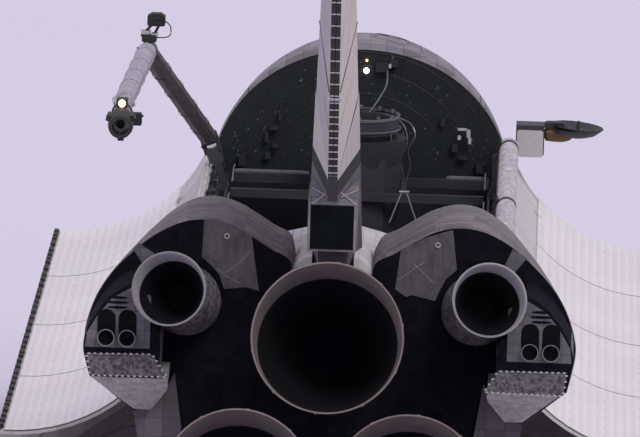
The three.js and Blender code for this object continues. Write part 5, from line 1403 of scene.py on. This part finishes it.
def seats():
    """Two pilots' seats: frames on a rail, with seat, back and head pads."""
    frames = Builder()
    lean = (at(514, 0, 446) - at(507, 0, 404)).normalized()
    front = STARBOARD.cross(lean).normalized()
    for side, name in SIDES:
        y = side * SEAT_Y
        hinge = at(509, y, 404)
        frames.block(at(498, y, 401), 9.6, 0.8, 10.6, 0.2)
        back = at(510.5, y, 404) + lean * (20 * INCH)
        frames.box(back + off(aft=1.2), STARBOARD * 9.2, front * 0.6, lean * 20, 0.2)
        for dy in (-3.6, 3.6):
            frames.tube(at(498, y + dy, 393.4), at(498, y + dy, 400.4), 1.1, 12)
            frames.tube(at(505, y + dy * 2.4, 402), at(509, y + dy * 2.4, 408), 0.8, 10)
        pad(name + "_seat_pad", at(497.4, y, 404), STARBOARD * 9.6, AFT * 9.8, UP * 2.1)
        pad(name + "_seat_back_pad", hinge + lean * (17 * INCH), STARBOARD * 9.4, lean * 14.5, front * 1.9)
        pad(name + "_seat_head_pad", hinge + lean * (36 * INCH), STARBOARD * 6, lean * 3.6, front * 1.7)
    frames.block(at(502.7, 0, 393.6), 31.5, 0.6, 2, 0.2)
    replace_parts(frames.make("seat_frames", "metal"), "crew_seats")


# Doors

# The open door's free edge
DOOR_EDGE_Y = 215.7
DOOR_EDGE_Z = 356
LATCH_ENDS = (588, 1298)


def door_trim():
    """Latches along the doors' free edges. The port ones end at the edge, the others behind it."""
    for side, name in SIDES:
        latches = Builder()
        rng = random.Random(5 + side)
        inward, half = (2.1, 1.7) if side < 0 else (3.3, 1.2)
        y = side * (DOOR_EDGE_Y - inward)
        x = LATCH_ENDS[0]
        while x < LATCH_ENDS[1]:
            length = rng.uniform(7, 15)
            middle = at(x + length / 2, y, DOOR_EDGE_Z + 3.25)
            latches.block(middle, half, 1.25, length / 2, 0.3)
            latches.tube(middle - off(half * 0.9), middle + off(half * 0.9), 1.3, 10)
            x += length + rng.uniform(4, 13)
        latches.path([at(584 + i * 36, y, DOOR_EDGE_Z + 2.7) for i in range(21)], 0.7, 8)
        latches.make(name + "_door_latches", "latch", name + "_door")


# The arm

LOWER_BANDS = (34, 92, 150, 205)
UPPER_BANDS = (40, 90, 145, 195)
# Angles of the cables round the lower boom, and where they run
CABLE_TURNS = (0.5, 1.6, 2.7, 3.8, 4.9, 6.0)
CABLE_RUN = (30, 250)
BAND = [(-1.2, 6.7), (-1, 7), (1, 7), (1.2, 6.7)]
HAND_COVER = [(1, 6.9), (2, 7.8), (10, 8.2), (20, 8.2), (25.4, 7.6), (25.8, 7.2), (25.9, 6.4), (24.5, 6.1),
              (22, 6)]


def arm_details():
    """What the arm carries, placed from the anchors of its joints."""
    shoulder, elbow, wrist, yaw, roll = (JOINTS["arm_" + name] for name in (
        "shoulder_pitch", "elbow_pitch", "wrist_pitch", "wrist_yaw", "wrist_roll"))
    elbow_camera(elbow, (wrist - elbow).normalized())
    arm_bands(shoulder, elbow, wrist)
    hand = (roll - yaw).normalized()
    arm_hand(roll, hand)
    wrist_camera(yaw, hand)


def elbow_camera(elbow, lower):
    """The camera on its two-legged stand over the elbow, with a cable and two pale covers."""
    camera = Builder()
    mount = elbow - lower * (2 * INCH)
    top = mount + off(5.5, 21)
    camera.block(top, 6, 3.6, 5, 0.2)
    camera.lathe(top + off(1, 0, 5), AFT, [(0, 2.6), (4, 2.6), (4, 2.1), (3, 1.9), (3, 0.05)], 20)
    camera.block(top + off(0, 4), 4, 0.8, 4, 0.3)
    camera.block(mount + off(1, 8.6), 5, 2.4, 4, 0.25)
    for dx in (-4.5, 3.5):
        camera.tube(mount + off(dx, 9.6), top + off(dx * 0.6, -3), 0.9, 8)
    camera.tube(mount, mount + off(0, 8.6), 3, 12)
    loop = [top + off(5), top + off(9.5, -4), top + off(8.5, -11), mount + off(3, 9)]
    camera.path(curve_points(loop, 6), 0.4, 8)
    camera.make("arm_elbow_camera", "latch", "arm_lower")
    covers = Builder().block(mount + off(-1.5, 12.6), 3.2, 1.2, 3, 0.2)
    covers.block(mount + off(4.6, 11), 2.2, 1.2, 3, 0.2)
    covers.make("arm_elbow_camera_covers", "trim", "arm_lower")


def arm_bands(shoulder, elbow, wrist):
    """Bands round both booms, and cables along the lower one."""
    lower = (wrist - elbow).normalized()
    upper = (elbow - shoulder).normalized()
    bands = Builder()
    for s in LOWER_BANDS:
        bands.lathe(elbow + lower * (s * INCH), lower, BAND, 32)
    side = lower.cross(UP).normalized()
    for turn in CABLE_TURNS:
        out = around(side, side.cross(lower).normalized(), turn) * 6.35
        first, last = (elbow + (lower * s + out) * INCH for s in CABLE_RUN)
        bands.tube(first, last, 0.28, 6)
    bands.make("arm_lower_bands", "arm_light", "arm_lower")
    bands = Builder()
    for s in UPPER_BANDS:
        bands.lathe(shoulder + upper * (s * INCH), upper, BAND, 32)
    bands.make("arm_upper_bands", "arm_dark", "arm_upper")


def arm_hand(roll, hand):
    """The hand's cover with three ribs, and its snare ring with three wires."""
    side = hand.cross(UP).normalized()
    other = side.cross(hand)
    cover = Builder().lathe(roll, hand, HAND_COVER, 40)
    for turn in turns(3, 0.5):
        out = around(side, other, turn)
        cover.box(roll + (hand * 14 + out * 8.8) * INCH, out * 1.4, out.cross(hand) * 2, hand * 6, 0.2)
    cover.make("arm_hand_cover", "latch", "arm_hand")
    ring = [(0, 5.4), (0.6, 5.4), (0.6, 3.2), (0, 3.0)]
    snare = Builder().lathe(roll + hand * (15 * INCH), hand, ring, 40)
    for turn in turns(3):
        a, b = (roll + (hand * 17 + around(side, other, end) * 5.3) * INCH for end in (turn, turn + 2.1))
        snare.tube(a, b, 0.2, 6)
    snare.make("arm_hand_snare", "metal", "arm_hand")


def wrist_camera(yaw, hand):
    """The camera and the lamp on the wrist, on a crossbar with a band."""
    kit = Builder()
    middle = yaw + hand * (20 * INCH)
    kit.block(yaw + hand * (19 * INCH) + off(0, 8), 3.6, 3, 4.5, 0.2)
    kit.block(middle + off(9.5, -2), 3.5, 4, 3, 0.2)
    kit.tube(middle - off(6), middle + off(14), 0.8, 8)
    kit.lathe(yaw + hand * (12.5 * INCH), hand, [(0, 6.2), (0.3, 7), (2.4, 7), (2.7, 6.2)], 32)
    kit.make("arm_wrist_camera", "latch", "wrist_yaw_link")
    bulb = [(0, 2.3), (1.2, 2.3), (1.9, 1.5), (2.1, 0.05)]
    light = Builder().lathe(yaw + hand * (23.4 * INCH) + off(0, 8.6), hand, bulb, 20)
    light.make("arm_wrist_lamp", "lamp_warm", "wrist_yaw_link")


# The inspection boom and the link antenna

# The boom's cradle: the foot and the lean of its arms, and their length to the boom's middle
CRADLE_Y = 91.8
CRADLE_Z = 410
CRADLE_TILT = math.radians(20.4)
CRADLE_REACH = 37.0
CLAMPS = (684, 912, 1182, 1258)
WRAP_ENDS = (676, 1256)
ANTENNA = (612, 95, 426)


def boom_details():
    """Clamps, wraps and a cable. Fittings sit on the boom's side that faces the bay."""
    rng = random.Random(11)
    lean = around(UP, STARBOARD, CRADLE_TILT)
    inboard = -lean.cross(AFT).normalized()

    def centre(x, reach=CRADLE_REACH, out=0.0):
        return at(x, CRADLE_Y, CRADLE_Z) + (lean * reach + inboard * out) * INCH

    clamps = Builder()
    for x in CLAMPS:
        clamps.lathe(centre(x - 3.5), AFT, [(0, 6.4), (0, 6.85), (7, 6.85), (7, 6.4)], 32)
        clamps.box(centre(x, CRADLE_REACH, 7), inboard * -1.2, lean * 3, AFT * 3, 0.2)
        for _ in range(5):
            start = centre(x + rng.uniform(-6, 6), CRADLE_REACH + rng.uniform(-4, 3), 6.5)
            rise = rng.uniform(-3, 5)
            clamps.tube(start, start + (lean * rise + inboard * rng.uniform(1.5, 4)) * INCH, 0.45, 6)
        clamps.box(centre(x, 29, 5), inboard * -2, lean * 2.4, AFT * 4, 0.2)
    clamps.make("boom_clamps", "latch", "boom")
    wraps = Builder()
    x = WRAP_ENDS[0]
    while x < WRAP_ENDS[1]:
        wraps.lathe(centre(x), AFT, [(0, 6.5), (1.5, 6.65 + rng.uniform(0, 0.13)), (4, 6.7), (5.5, 6.5)], 28)
        x += rng.uniform(7, 17)
    wraps.make("boom_wraps", "boom", "boom")
    run = [centre(WRAP_ENDS[0] + i * 12, 35 + rng.uniform(-0.3, 0.3), 6.7) for i in range(49)]
    Builder().path(run, 0.45, 6).make("boom_cable", "latch", "boom")


def antenna_details():
    """The box, gimbal, yoke and dish of the link antenna. Points are offsets from its hinge."""
    def spot(y, z):
        return at(ANTENNA[0], ANTENNA[1] + y, ANTENNA[2] + z)

    Builder().block(spot(24, 13), 9.2, 9.6, 9.4, 0.12).make("antenna_box_cover", "trim", "antenna")
    gimbal = [(-1, 3), (0, 5), (6, 5.6), (12, 5.6), (17, 4.2), (19, 2)]
    Builder().lathe(spot(35, 19), STARBOARD, gimbal, 28).make("antenna_gimbal", "gold", "antenna")
    yoke = Builder().block(spot(41, 25.5), 7, 2.2, 4.5, 0.3)
    yoke.tube(spot(46, 22), spot(56, 20), 3, 14, 2)
    yoke.make("antenna_yoke_cover", "latch", "antenna")
    shell = [(-2.6, 0.3), (-2.2, 6), (-0.6, 12.5), (2.6, 17), (4.4, 18), (4.6, 17.4), (2.6, 15.4), (0.6, 10),
             (0, 0.3)]
    Builder().lathe(spot(57, 19.4), UP, shell, 56).make("antenna_dish_shell", "dish", "antenna")


# The studio

FLOOR_REACH = 3000
# Columns: name, direction to the light, strength, angle in degrees, colour
SUNS = [("key", (0.35, -0.55, 0.75), 1.7, 25, (1.0, 0.97, 0.93)),
        ("fill", (-0.8, -0.5, 0.35), 0.5, 50, (0.9, 0.92, 1.0))]


def stage():
    """Pale floor and sky of one colour, and soft studio light."""
    scene = bpy.context.scene
    scene.view_settings.view_transform = "Standard"
    scene.view_settings.look = "None"
    world = bpy.data.worlds.new("studio")
    scene.world = world
    world.use_nodes = True
    back = world.node_tree.nodes["Background"]
    back.inputs["Color"].default_value = (0.62, 0.6, 0.7, 1)
    back.inputs["Strength"].default_value = 1.0
    t = Tree("floor")
    colour = t.mix(t.noise(0.05, 2, 0.5), (0.6, 0.58, 0.67), (0.62, 0.6, 0.69))
    mesh = bpy.data.meshes.new("floor")
    corners = [(x * FLOOR_REACH, y * FLOOR_REACH, 0) for x, y in [(-1, -1), (1, -1), (1, 1), (-1, 1)]]
    mesh.from_pydata(corners, [], [(0, 1, 2, 3)])
    mesh.materials.append(t.finish(colour, rough=1.0, Specular_IOR_Level=0.0))
    floor = bpy.data.objects.new("floor", mesh)
    scene.collection.objects.link(floor)
    for name, toward, energy, angle, colour in SUNS:
        data = bpy.data.lights.new(name, "SUN")
        data.energy = energy
        data.angle = math.radians(angle)
        data.color = colour
        sun = bpy.data.objects.new(name, data)
        scene.collection.objects.link(sun)
        sun.rotation_mode = "QUATERNION"
        sun.rotation_quaternion = Vector(toward).to_track_quat("Z", "Y")


make_camera()
dress_nodes()
main_bells()
oms_bells()
pods()
base_details()
tail_details()
facets()
chute()
sill_details()
liner_frames()
front_wall()
docking_trim()
cover_bands()
crown_skin()
roof_windows()
nose_cap()
nose_thrusters()
wheels()
seats()
door_trim()
arm_details()
boom_details()
antenna_details()
stage()
